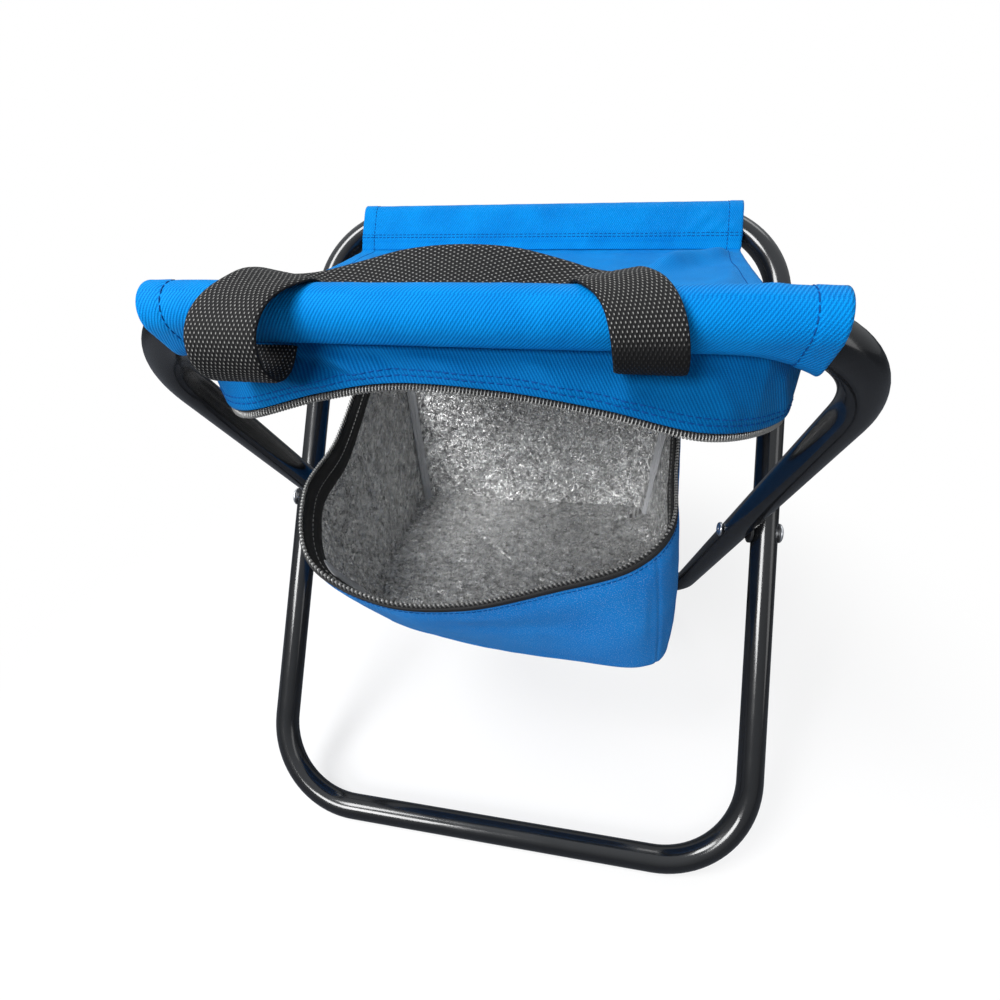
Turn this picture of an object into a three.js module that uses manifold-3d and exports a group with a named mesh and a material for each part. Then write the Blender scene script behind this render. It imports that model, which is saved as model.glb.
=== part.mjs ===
import * as THREE from 'three';
import { mergeVertices } from 'three/addons/utils/BufferGeometryUtils.js';
import Module from 'manifold-3d';

// Folding stool with an insulated bag hung under its fabric seat.
// Millimetres, +X to the sitter's right when seen from the front, +Y to the rear, +Z up.

const wasm = await Module();
wasm.setup();

// Steel frame: two bent tube loops that cross like scissors
const tubeDiameter = 16;
const tubeWall = 1;
const outerLoopWidth = 318;
const legGap = 2.5;
const topRailHeight = 349;
const topRailSpread = 254;
const floorBarSpread = 259;
const bendRadius = 57;
const tubeJointGap = 0.6;
const insertLength = 60;
const insertClearance = 0.35;
const bendSteps = 6;
const tubeSides = 16;

// Pivots: a tubular rivet and a spacer on each side
const rivetDiameter = 6.2;
const rivetClearance = 0.15;
const rivetHeadDiameter = 12.5;
const rivetHeadHeight = 2.4;
const rivetHeadShares = [[1, 1 / 3], [2 / 3, 0.85]];
const rivetRollDiameter = 9.2;
const rivetRollHeight = 2.2;
const rivetBoreDiameter = 3.6;
const rivetBoreDepth = 9;
const spacerDiameter = 15;
const rivetSides = 24;

// Sheet goods and the gap left between neighbouring layers
const fabricThickness = 1.2;
const foamThickness = 2.4;
const foilThickness = 0.8;
const layerGap = 0.3;

// Sleeves that carry the seat on the two top rails
const sleeveFabric = 0.8;
const sleeveEase = 0.6;
const sleeveEndInset = 27;
const frontSleeveSlack = 2;
const rearSleeveSlack = 15.2;
const sleeveSides = 20;
// Shares of half the width at which a sleeve has its rings, closer where the rail bends
const sleeveHalfShares = [0.36, 0.7, 0.78, 0.85, 0.92, 1];

// Seat panel
const seatRearDrop = 18;
const seatEdgeSag = 2;
const seatMiddleSag = 8;
const lidInset = 4;
const seatBackShares = [0, 0.06, 0.22, 0.36, 0.5, 0.64, 0.78, 0.94, 1];
const seatHalfShares = [0.28, 0.56];

// Skirt below the seat, with one half of the zip along its lower edge
const skirtInset = 16.5;
const skirtRearEnd = 97;
const zipLineDrop = 42.6;
const skirtFrontReach = 9;
const frontZipRise = 19.2;
const skirtCornerBack = 100;
const skirtStraightEnd = 60;
const sewnSlopeShare = 1;
const zipTapeWidth = 12;
const zipTapeShown = 1;
const zipTapeThickness = 0.8;
const zipChainHeight = 2.6;
const zipChainThickness = 2.2;

// Zip slider, its pull and the tabs at the ends of the zip
const sliderLength = 10;
const sliderPlate = 1;
const sliderHeight = 7.2;
const sliderClearance = 0.35;
const sliderBridgeHeight = 1;
const bailThickness = 1.2;
const bailReach = 3.8;
const bailFootShare = 0.4;
const bailTopShare = 0.25;
const pullLength = 24;
const pullWidth = 6;
const pullThickness = 1.2;
const sliderRestBack = 80;
const endTabLength = 9;
const endTabHeight = 15;
const endTabThickness = 1;

// Bag: opened, pulled down at the front and leaning a little to the left
const bagSideGap = 30;
const bagLeftShift = 2.5;
const bagDepth = 168;
const bagBack = 6;
const bagDrop = 222;
const bagBulge = 1.5;
const bagTopEase = 0.5;
const seamGap = 0.4;
const innerSeamGap = 1.6;
const sameMarkShare = 0.01;
const bagRows = 4;
const cornerTapeWidth = 9;
const cornerTapeThickness = 0.6;
const rimTapeWidth = 13;

// Carry handle: one webbing strap, looped round the front rail at both ends
const strapWidth = 25;
const strapThickness = 1.6;
const strapSpacing = 137;
const strapLeftShift = 7;
const strapLoopSlack = 6;
const strapEndAngle = 250;
const strapLeanRight = 15;
const strapLeanLeft = 8;
const loopSlackShare = 1.6;
const loopLeanShare = 2;
const strapLoopSteps = 10;
const gripSteps = 24;
// Grip from a loop's crown to its middle: share of the way across, how far behind and below
// the crown as shares of the strap's width, then the direction of that width
const gripShares = [
  [0, 0, 0, 1, 0, 0],
  [0.04, 0.31, 0, 0.98, 0.16, 0.06],
  [0.136, 0.56, 0.09, 0.93, 0.28, 0.19],
  [0.29, 0.76, 0.13, 0.79, 0.47, 0.4],
  [0.43, 0.84, 0.11, 0.57, 0.6, 0.57],
  [0.66, 0.87, 0.06, 0.26, 0.67, 0.69],
  [1, 0.87, 0.05, 0, 0.7, 0.71],
];

// One overrun serves every cut
const cutOverrun = 2;

// Sizes that follow from the ones above
const tubeRadius = tubeDiameter / 2;
const tubeBore = tubeRadius - tubeWall;
const innerLoopWidth = outerLoopWidth - 2 * (tubeDiameter + legGap);
const railReach = topRailSpread / 2;
const floorReach = floorBarSpread / 2;
const loopRise = topRailHeight - tubeRadius;
const loopRun = railReach + floorReach;
const loopLength = Math.hypot(loopRise, loopRun);
const pivotHeight = tubeRadius + loopRise * floorReach / loopRun;
const sleeveRadius = tubeRadius + sleeveEase + sleeveFabric;
const rearSleeveHalfWidth = outerLoopWidth / 2 - sleeveEndInset;
const frontSleeveHalfWidth = innerLoopWidth / 2 - sleeveEndInset;
const clearHalfWidth = innerLoopWidth / 2 - tubeRadius;
const bagHalfWidth = clearHalfWidth - bagSideGap;
const bagHalfDepth = bagDepth / 2;
const bagBottomHeight = topRailHeight - bagDrop;
const zipLineHeight = topRailHeight - zipLineDrop;
const skirtHalfWidth = clearHalfWidth - skirtInset;

const vec = (x, y, z) => new THREE.Vector3(x, y, z);
const lerp = THREE.MathUtils.lerp;

// Materials
const finish = (color, roughness, metalness = 0) => () =>
  new THREE.MeshStandardMaterial({ color, roughness, metalness, side: THREE.DoubleSide });
const blackPaint = finish(0x101114, 0.25, 0.3);
const zincSteel = finish(0xb4b6ba, 0.35, 0.9);
const blackPlastic = finish(0x17181a, 0.5);
const blueFabric = finish(0x0b5fc4, 0.75);
const blackWebbing = finish(0x1c1c1e, 0.85);
const zipCoil = finish(0x2a2b2e, 0.45);
const silverFoil = finish(0xc9ccd0, 0.3, 0.85);
const whiteFoam = finish(0xe9e9e6, 0.9);
const greyTape = finish(0xc4c6c8, 0.8);

const stool = new THREE.Group();

function addPiece(name, geometry, material) {
  geometry.computeVertexNormals();
  const mesh = new THREE.Mesh(geometry, material());
  mesh.name = name;
  stool.add(mesh);
}

// Closed solids from rings of points

function solidFrom(points, triangles) {
  let volume = 0;
  for (const [a, b, c] of triangles) {
    volume += points[a].dot(vec(0, 0, 0).crossVectors(points[b], points[c]));
  }
  const facing = volume < 0 ? triangles.map(([a, b, c]) => [a, c, b]) : triangles;
  const geometry = new THREE.BufferGeometry();
  const flat = points.flatMap((p) => [p.x, p.y, p.z]);
  geometry.setAttribute('position', new THREE.Float32BufferAttribute(flat, 3));
  geometry.setIndex(facing.flat());
  return geometry;
}

function quad(a, b, c, d) {
  return [[a, b, c], [a, c, d]];
}

// A ring swept through its stations, each ring a closed row of corners.
// Its ends close as a strip between the two halves of the ring, and the two halves
// are split into triangles alike, so that sheets that lie on each other stay parallel.
function solidLoft(rings) {
  const count = rings[0].length;
  const at = (i, j) => i * count + (j % count);
  const triangles = [];
  for (let i = 0; i + 1 < rings.length; i++) {
    for (let j = 0; j < count; j++) {
      const corners = [at(i, j), at(i, j + 1), at(i + 1, j + 1), at(i + 1, j)];
      if (j >= count / 2) corners.push(corners.shift());
      triangles.push(...quad(...corners));
    }
  }
  const last = rings.length - 1;
  for (let j = 0; j < count / 2 - 1; j++) {
    const far = count - 1 - j;
    triangles.push(...quad(at(0, j), at(0, far), at(0, far - 1), at(0, j + 1)));
    triangles.push(...quad(at(last, j), at(last, j + 1), at(last, far - 1), at(last, far)));
  }
  return solidFrom(rings.flat(), triangles);
}

// A pipe: one skin outside, one inside, joined by a flat ring at each end
function hollowLoft(outerRings, innerRings) {
  const count = outerRings[0].length;
  const last = outerRings.length - 1;
  const inside = outerRings.length * count;
  const out = (i, j) => i * count + (j % count);
  const inn = (i, j) => inside + out(i, j);
  const triangles = [];
  for (let j = 0; j < count; j++) {
    for (let i = 0; i < last; i++) {
      triangles.push(...quad(out(i, j), out(i, j + 1), out(i + 1, j + 1), out(i + 1, j)));
      triangles.push(...quad(inn(i, j), inn(i + 1, j), inn(i + 1, j + 1), inn(i, j + 1)));
    }
    triangles.push(...quad(out(0, j), inn(0, j), inn(0, j + 1), out(0, j + 1)));
    triangles.push(...quad(out(last, j), out(last, j + 1), inn(last, j + 1), inn(last, j)));
  }
  return solidFrom([...outerRings.flat(), ...innerRings.flat()], triangles);
}

// A sheet of even thickness: point(u, v, depth) gives its face at each depth
function sheet(point, columns, rows, topDepth, underDepth) {
  return solidLoft(columns.map((u) => {
    const row = (depth) => rows.map((v) => point(u, v, depth));
    return [...row(topDepth), ...row(underDepth).reverse()];
  }));
}

// Even steps from one value to another, both ends included
function steps(from, to, count) {
  return Array.from({ length: count + 1 }, (_, k) => lerp(from, to, k / count));
}

// A flat band: each station has its middle, its width direction and its face direction
function band(stations, width, thickness) {
  return solidLoft(stations.map(({ middle, across, facing }) => {
    const corner = (a, b) => middle.clone()
      .addScaledVector(across, a * width / 2)
      .addScaledVector(facing, b * thickness / 2);
    return [corner(-1, -1), corner(1, -1), corner(1, 1), corner(-1, 1)];
  }));
}

function spline(points, closed) {
  return new THREE.CatmullRomCurve3(points, closed, 'centripetal');
}

function cut(geometry, tools) {
  const toSolid = (source) => {
    const bare = source.clone();
    bare.deleteAttribute('normal');
    bare.deleteAttribute('uv');
    const merged = mergeVertices(bare);
    return new wasm.Manifold(new wasm.Mesh({
      numProp: 3,
      vertProperties: new Float32Array(merged.attributes.position.array),
      triVerts: new Uint32Array(merged.index.array),
    }));
  };
  const mesh = tools.reduce((body, tool) => body.subtract(toSolid(tool)), toSolid(geometry)).getMesh();
  const result = new THREE.BufferGeometry();
  result.setAttribute('position', new THREE.BufferAttribute(new Float32Array(mesh.vertProperties), 3));
  result.setIndex(new THREE.BufferAttribute(new Uint32Array(mesh.triVerts), 1));
  return result;
}

// Frame loops. lean is 1 for the loop whose top is at the rear, -1 for the other.

function loopPlane(lean) {
  const along = vec(0, lean * loopRun, loopRise).divideScalar(loopLength);
  const foot = vec(0, -lean * floorReach, tubeRadius);
  const face = vec(0, 0, 0).crossVectors(vec(1, 0, 0), along);
  return { along, foot, face };
}

function loopStations(width, lean) {
  const { along, foot } = loopPlane(lean);
  const half = width / 2;
  const cornerX = half - bendRadius;
  const corners = [
    [cornerX, loopLength - bendRadius, 1],
    [cornerX, bendRadius, 0],
    [-cornerX, bendRadius, -1],
    [-cornerX, loopLength - bendRadius, -2],
  ];
  const stations = [];
  const place = (x, w, angle) => stations.push({
    middle: foot.clone().addScaledVector(along, w).setX(x),
    out: vec(Math.cos(angle), 0, 0).addScaledVector(along, Math.sin(angle)),
  });
  place(tubeJointGap / 2, loopLength, Math.PI / 2);
  for (const [x, w, quarter] of corners) {
    for (let k = 0; k <= bendSteps; k++) {
      const angle = (quarter - k / bendSteps) * Math.PI / 2;
      place(x + bendRadius * Math.cos(angle), w + bendRadius * Math.sin(angle), angle);
    }
  }
  place(-tubeJointGap / 2, loopLength, Math.PI / 2);
  return stations;
}

// The tube's sides are turned so that one of them lies flat on the floor
function tubeRings(stations, lean, radius, sides) {
  const { along, face } = loopPlane(lean);
  const down = Math.atan2(-face.z, along.z);
  return stations.map(({ middle, out }) => Array.from({ length: sides }, (_, j) => {
    const angle = down + (j + 0.5) * 2 * Math.PI / sides;
    return middle.clone()
      .addScaledVector(out, radius * Math.cos(angle))
      .addScaledVector(face, radius * Math.sin(angle));
  }));
}

function crossRod(radius, length, x, y, z, sides = rivetSides) {
  const rod = new THREE.CylinderGeometry(radius, radius, length, sides);
  rod.rotateZ(Math.PI / 2);
  rod.translate(x, y, z);
  return rod;
}

function frameLoop(width, lean) {
  const stations = loopStations(width, lean);
  const flats = Math.cos(Math.PI / tubeSides);
  const tube = hollowLoft(
    tubeRings(stations, lean, tubeRadius / flats, tubeSides),
    tubeRings(stations, lean, tubeBore, tubeSides),
  );
  const drills = [-1, 1].map((side) => crossRod(
    rivetDiameter / 2 + rivetClearance,
    tubeDiameter + 2 * cutOverrun,
    side * width / 2, 0, pivotHeight,
  ));
  return cut(tube, drills);
}

function addFrame() {
  addPiece('outer_frame', frameLoop(outerLoopWidth, 1), blackPaint);
  addPiece('inner_frame', frameLoop(innerLoopWidth, -1), blackPaint);
  for (const [name, lean] of [['outer_rail_insert', 1], ['inner_rail_insert', -1]]) {
    const radius = tubeBore * Math.cos(Math.PI / tubeSides) - insertClearance;
    addPiece(name, crossRod(radius, insertLength, 0, lean * railReach, topRailHeight, tubeSides), zincSteel);
  }
}

// Rivets run along X from a domed head outside to a rolled end inside
function addPivots() {
  const outside = outerLoopWidth / 2 + tubeRadius + layerGap;
  const inside = innerLoopWidth / 2 - tubeRadius - layerGap;
  const shank = rivetDiameter / 2;
  const tip = inside - rivetRollHeight;
  const profile = [
    [0, tip + rivetBoreDepth],
    [rivetBoreDiameter / 2, tip + rivetBoreDepth],
    [rivetBoreDiameter / 2, tip],
    [rivetRollDiameter / 2 - rivetRollHeight / 2, tip],
    [rivetRollDiameter / 2, tip + rivetRollHeight / 2],
    [rivetRollDiameter / 2, inside],
    [shank, inside],
    [shank, outside],
    [rivetHeadDiameter / 2, outside],
    ...rivetHeadShares.map(([r, x]) => [r * rivetHeadDiameter / 2, outside + x * rivetHeadHeight]),
    [0, outside + rivetHeadHeight],
  ].map(([r, x]) => new THREE.Vector2(r, x));
  for (const [side, name] of [[-1, 'left'], [1, 'right']]) {
    const rivet = new THREE.LatheGeometry(profile, rivetSides);
    rivet.rotateZ(-side * Math.PI / 2);
    rivet.translate(0, 0, pivotHeight);
    addPiece(`pivot_rivet_${name}`, rivet, zincSteel);

    const bore = shank + rivetClearance;
    const middle = (outerLoopWidth + innerLoopWidth) / 4;
    const half = legGap / 2 - layerGap;
    const ring = [
      [bore, -half],
      [spacerDiameter / 2, -half],
      [spacerDiameter / 2, half],
      [bore, half],
      [bore, -half],
    ].map(([r, x]) => new THREE.Vector2(r, x));
    const spacer = new THREE.LatheGeometry(ring, rivetSides);
    spacer.rotateZ(Math.PI / 2);
    spacer.translate(side * middle, 0, pivotHeight);
    addPiece(`pivot_spacer_${name}`, spacer, blackPlastic);
  }
}

// How far the tube's lower side has bent away from its rail's line, x from the middle
function railDrop(width, x) {
  const past = Math.max(0, Math.abs(x) - (width / 2 - bendRadius));
  const level = Math.sqrt(bendRadius ** 2 - past ** 2);
  return bendRadius - level + tubeRadius * (bendRadius / level - 1);
}

// A sleeve is a flat pocket round the rail: its section is the hull of two circles
function sleeveSection(lean, x) {
  const { along } = loopPlane(lean);
  const front = lean < 0;
  const drop = front ? frontSleeveSlack + railDrop(innerLoopWidth, x) : rearSleeveSlack;
  const rail = vec(x, lean * railReach, topRailHeight);
  const hem = rail.clone().addScaledVector(along, -drop);
  return { rail, hem, along };
}

function sleeveSkin(section, angle, gap) {
  const normal = vec(0, Math.cos(angle), Math.sin(angle));
  const centre = normal.dot(section.along) < 0 ? section.hem : section.rail;
  return centre.clone().addScaledVector(normal, sleeveRadius + gap);
}

// The same shares on both sides of the middle
function bothSides(shares) {
  return [...shares.map((share) => -share).reverse(), 0, ...shares];
}

function sleeve(lean, halfWidth) {
  const rings = (gap) => bothSides(sleeveHalfShares).map((share) => {
    const section = sleeveSection(lean, share * halfWidth);
    return Array.from({ length: sleeveSides }, (_, j) =>
      sleeveSkin(section, (j + 0.5) * 2 * Math.PI / sleeveSides, gap));
  });
  const facetRise = sleeveRadius / Math.cos(Math.PI / sleeveSides) - sleeveRadius;
  return hollowLoft(rings(0), rings(facetRise - sleeveFabric));
}

// Seat panel from the front pocket's seam to the rear pocket's hem.
// across runs from -1 to 1, back from 0 at the front to 1 at the rear.
function seatPoint(across, back, depth) {
  const frontX = across * frontSleeveHalfWidth;
  const front = sleeveSkin(sleeveSection(-1, frontX), 0, layerGap + fabricThickness);
  const rearZ = topRailHeight - seatRearDrop;
  const rear = sleeveSection(1, 0).hem;
  const below = (rear.z - rearZ) / (sleeveRadius + layerGap + fabricThickness);
  const rearY = rear.y - (sleeveRadius + layerGap + fabricThickness) * Math.cos(Math.asin(below));
  const sag = lerp(seatMiddleSag, seatEdgeSag, across ** 2) * 4 * back * (1 - back);
  return vec(
    across * lerp(frontSleeveHalfWidth, rearSleeveHalfWidth, back),
    lerp(front.y, rearY, back),
    lerp(front.z, rearZ, back) - sag - depth,
  );
}

// The seat and the lid's padding share one grid, so that the layers stay parallel
const lidReach = (skirtHalfWidth - lidInset) / rearSleeveHalfWidth;
const seatAcrossShares = bothSides([...seatHalfShares, lidReach, 1]);

// A place on the seat's own facets, between the lines of its grid
function onSeat(across, back, depth) {
  const cell = (value, lines) => {
    const next = Math.max(1, lines.findIndex((line) => line >= value));
    const [low, high] = [lines[next - 1], lines[next]];
    return [low, high, (value - low) / (high - low)];
  };
  const [left, right, sideways] = cell(across, seatAcrossShares);
  const [front, rear, backwards] = cell(back, seatBackShares);
  const near = seatPoint(left, front, depth).lerp(seatPoint(right, front, depth), sideways);
  const far = seatPoint(left, rear, depth).lerp(seatPoint(right, rear, depth), sideways);
  return near.lerp(far, backwards);
}

function seatHeight(x, y, depth) {
  const front = seatPoint(0, 0, 0).y;
  const rear = seatPoint(0, 1, 0).y;
  const back = THREE.MathUtils.clamp((y - front) / (rear - front), 0, 1);
  const across = x / lerp(frontSleeveHalfWidth, rearSleeveHalfWidth, back);
  return onSeat(THREE.MathUtils.clamp(across, -1, 1), back, depth).z;
}

function addSeat() {
  addPiece('front_sleeve', sleeve(-1, frontSleeveHalfWidth), blueFabric);
  addPiece('rear_sleeve', sleeve(1, rearSleeveHalfWidth), blueFabric);
  const place = (back, across, depth) => seatPoint(across, back, depth);
  addPiece('seat_panel', sheet(place, seatBackShares, seatAcrossShares, 0, fabricThickness), blueFabric);

  // The lid's padding stays inside the skirt
  const backs = seatBackShares.slice(1, -1);
  const sides = seatAcrossShares.slice(1, -1);
  const foamTop = fabricThickness + layerGap;
  const foilTop = foamTop + foamThickness + layerGap;
  addPiece('lid_foam', sheet(place, backs, sides, foamTop, foamTop + foamThickness), whiteFoam);
  addPiece('lid_lining', sheet(place, backs, sides, foilTop, foilTop + foilThickness), silverFoil);
}

// Skirt: its lower edge is the zip line, from the rear left round the front to the rear right

const frontZip = -railReach - skirtFrontReach;
// Across the front: share of the skirt's half width, share of the zip's rise at the middle
const frontZipShares = [
  [-0.9, 0.06], [-0.72, 0.31], [-0.46, 0.74], [-0.22, 1], [0.11, 0.93],
  [0.41, 0.66], [0.69, 0.32], [0.9, 0.06],
];
const zipCorners = (side) => [
  [side * skirtHalfWidth, skirtRearEnd],
  [side * skirtHalfWidth, (skirtRearEnd - skirtStraightEnd) / 2],
  [side * skirtHalfWidth, -skirtStraightEnd],
  [side * skirtHalfWidth, -skirtCornerBack],
];

const zipPath = spline([
  ...zipCorners(-1).map(([x, y]) => vec(x, y, zipLineHeight)),
  ...frontZipShares.map(([x, rise], k) => vec(
    x * skirtHalfWidth,
    k === 0 || k === frontZipShares.length - 1 ? (frontZip - skirtCornerBack) / 2 : frontZip,
    zipLineHeight + rise * frontZipRise,
  )),
  ...zipCorners(1).reverse().map(([x, y]) => vec(x, y, zipLineHeight)),
], false);

// The line where the skirt is sewn on: under the front sleeve, then under the seat's sides
function sewnPoint(s) {
  const edge = zipPath.getPoint(s);
  const { hem } = sleeveSection(-1, edge.x);
  const y = Math.max(edge.y, hem.y);
  const past = Math.max(0, y - hem.y - sleeveRadius - layerGap);
  const fromSleeve = hem.z - sleeveRadius + past * sewnSlopeShare;
  const underSeat = seatHeight(edge.x, y, fabricThickness);
  return vec(edge.x, y, Math.min(fromSleeve, underSeat) - 2 * layerGap);
}

function levelNormal(path, s) {
  const run = path.getTangent(s);
  return vec(run.y, -run.x, 0).normalize();
}

// Rows of the skirt and of its tape, as heights above the zip line; the first row of the
// skirt is the sewn line. depth goes outward.
const hemRise = zipChainHeight / 2 + zipTapeShown;
const tapeFoot = zipChainHeight / 2 + layerGap;
const skirtRises = [tapeFoot + zipTapeWidth, hemRise, tapeFoot];

function skirtPoint(mark, row, depth) {
  const s = mark / zipSpans;
  const low = zipPath.getPoint(s);
  const high = sewnPoint(s);
  const span = high.distanceTo(low);
  const rise = row === 0 ? span : skirtRises[row - 1];
  return low.lerp(high, rise / span).addScaledVector(levelNormal(zipPath, s), depth);
}

const zipSpans = zipPath.points.length - 1;
const skirtMarks = { left: [0, 3.4], front: [3.43, 11.57], right: [11.6, zipSpans] };
const skirtSeams = [...skirtMarks.front, skirtMarks.left[1], skirtMarks.right[0]];
const zipMarks = [...steps(0, zipSpans, 4 * zipSpans), ...skirtSeams].sort((a, b) => a - b);

function addSkirt() {
  const half = fabricThickness / 2;
  for (const [name, [from, to]] of Object.entries(skirtMarks)) {
    const columns = zipMarks.filter((mark) => mark >= from && mark <= to);
    addPiece(`${name}_skirt`, sheet(skirtPoint, columns, [0, 1, 2], half, -half), blueFabric);
  }
}

// The half of the zip on the skirt: tape behind the hem, chain along the edge
const zipBack = fabricThickness / 2 + layerGap + zipTapeThickness / 2;

function addUpperZip() {
  const near = -zipBack + zipTapeThickness / 2;
  const tape = sheet(skirtPoint, zipMarks, [1, 2, 3], near, near - zipTapeThickness);
  addPiece('zip_tape_upper', tape, blackWebbing);
  const chain = zipMarks.map((mark) => {
    const s = mark / zipSpans;
    const edge = zipPath.getPoint(s);
    const across = sewnPoint(s).sub(edge).normalize();
    const facing = levelNormal(zipPath, s);
    return { middle: edge.addScaledVector(facing, -zipBack), across, facing };
  });
  addPiece('zip_chain_upper', band(chain, zipChainHeight, zipChainThickness), zipCoil);
}

// Bag walls. Each row is one upright line of the wall, from the bag's floor to its rim:
// shares of the bag's half width and half depth at the floor, then shares of the width
// between the legs, of the rail's reach and of the wall's height at the rim.
const wallShares = [
  [-1, 0.83, -0.898, 0.787, 0.865],
  [-1, 0.29, -0.936, 0.457, 0.69],
  [-0.98, -0.19, -0.975, 0, 0.502],
  [-0.92, -0.57, -0.945, -0.457, 0.472],
  [-0.77, -0.79, -0.79, -0.79, 0.392],
  [-0.37, -0.91, -0.468, -0.89, 0.332],
  [0.02, -0.98, -0.136, -0.843, 0.314],
  [0.46, -1.01, 0.226, -0.748, 0.358],
  [0.86, -1, 0.543, -0.654, 0.415],
  [0.99, -0.86, 0.679, -0.535, 0.472],
  [1, -0.31, 0.74, -0.079, 0.511],
  [1, 0.29, 0.785, 0.394, 0.64],
  [1, 0.83, 0.883, 0.787, 0.865],
  [0.88, 1, 0.785, 0.862, 1],
  [0, 1.02, 0, 0.87, 1],
  [-0.88, 1, -0.785, 0.862, 1],
];
const wallMarks = { left: [-0.5, 4], front: [4, 8.5], right: [8.5, 12.5], rear: [12.5, 15.5] };
const cornerMarks = { rear_left: -0.5, front_left: 4, front_right: 8.5, rear_right: 12.5 };
const zipRimMarks = [0, 12];
const wallCount = wallShares.length;
const bagTop = topRailHeight - seatRearDrop - fabricThickness - bagTopEase;
const wallHeight = bagTop - bagBottomHeight;
const floorEdge = spline(wallShares.map(([x, y]) => vec(
  x * bagHalfWidth - bagLeftShift,
  bagBack + y * bagHalfDepth,
  bagBottomHeight,
)), true);
const rimEdge = spline(wallShares.map(([, , x, y, z]) => vec(
  x * clearHalfWidth,
  y * railReach,
  bagBottomHeight + z * wallHeight,
)), true);
const loopShare = (mark) => (mark / wallCount % 1 + 1) % 1;
const rimHeight = (mark) => rimPoint(loopShare(mark)).z - bagBottomHeight;

function rimPoint(s) {
  const point = rimEdge.getPoint(s);
  return point.setZ(Math.min(point.z, bagTop));
}

// mark counts the rows of the table, height runs from 0 at the floor to 1 at the rim,
// depth goes inward from the bag's outer face
function wallPoint(mark, height, depth) {
  const s = loopShare(mark);
  const low = floorEdge.getPoint(s);
  const high = rimPoint(s);
  const outward = levelNormal(floorEdge, s).lerp(levelNormal(rimEdge, s), height).normalize();
  const bulge = bagBulge * Math.sin(Math.PI * height);
  return low.lerp(high, height).addScaledVector(outward, bulge - depth);
}

// A width along the bag's floor as a step in the table's rows
function markStep(mark, width) {
  const quarter = 0.25;
  const before = floorEdge.getPoint(loopShare(mark - quarter));
  const after = floorEdge.getPoint(loopShare(mark + quarter));
  return width * 2 * quarter / after.distanceTo(before);
}

// The upright lines that every layer of the wall shares, so that the layers stay parallel
function wallColumns(from, to, gap) {
  const columns = steps(0, wallCount, 2 * wallCount).map((mark) => mark - 1);
  for (const corner of Object.values(cornerMarks)) {
    for (const width of [cornerTapeWidth / 2, innerSeamGap]) {
      columns.push(corner - markStep(corner, width), corner + markStep(corner, width));
    }
  }
  const first = from + markStep(from, gap);
  const last = to - markStep(to, gap);
  const inside = columns.filter((mark) => mark > first + sameMarkShare && mark < last - sameMarkShare);
  return [first, ...inside.sort((a, b) => a - b), last];
}

// The top row of every layer is as tall as the tape below the rim
function rowHeight(mark, row, lift) {
  const tall = rimHeight(mark);
  const tapeFoot = 1 - rimTapeWidth / tall;
  return row === bagRows ? 1 : lerp(lift / tall, tapeFoot, row / (bagRows - 1));
}

const floorLift = fabricThickness + layerGap;
const foamDepth = fabricThickness + layerGap;
const foilDepth = foamDepth + foamThickness + layerGap;
const wallDepth = foilDepth + foilThickness + layerGap;

function wallSheet(columns, rows, top, under) {
  const place = (mark, row, depth) => wallPoint(mark, rowHeight(mark, row, floorLift), depth);
  return sheet(place, columns, rows, top, under);
}

function bagLayer(prefix, material, top, thickness, floorLow, floorInset) {
  for (const [name, [from, to]] of Object.entries(wallMarks)) {
    const columns = wallColumns(from, to, top === 0 ? seamGap : innerSeamGap);
    const rows = steps(0, bagRows, bagRows);
    addPiece(`${prefix}_${name}`, wallSheet(columns, rows, top, top + thickness), material);
  }
  const outline = steps(0, wallCount, 2 * wallCount).slice(1).map((mark) => {
    const edge = wallPoint(mark, 0, floorInset);
    return new THREE.Vector2(edge.x, edge.y);
  });
  const plate = new THREE.ExtrudeGeometry(new THREE.Shape(outline), {
    depth: thickness,
    bevelEnabled: false,
    steps: 1,
  });
  plate.translate(0, 0, bagBottomHeight + floorLow);
  addPiece(`${prefix}_bottom`, plate, material);
}

function addBag() {
  const floorInset = wallDepth + layerGap;
  bagLayer('bag', blueFabric, 0, fabricThickness, 0, 0);
  bagLayer('foam', whiteFoam, foamDepth, foamThickness, floorLift, floorInset);
  const foilFloor = floorLift + foamThickness + layerGap;
  bagLayer('lining', silverFoil, foilDepth, foilThickness, foilFloor, floorInset);
}

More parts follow.
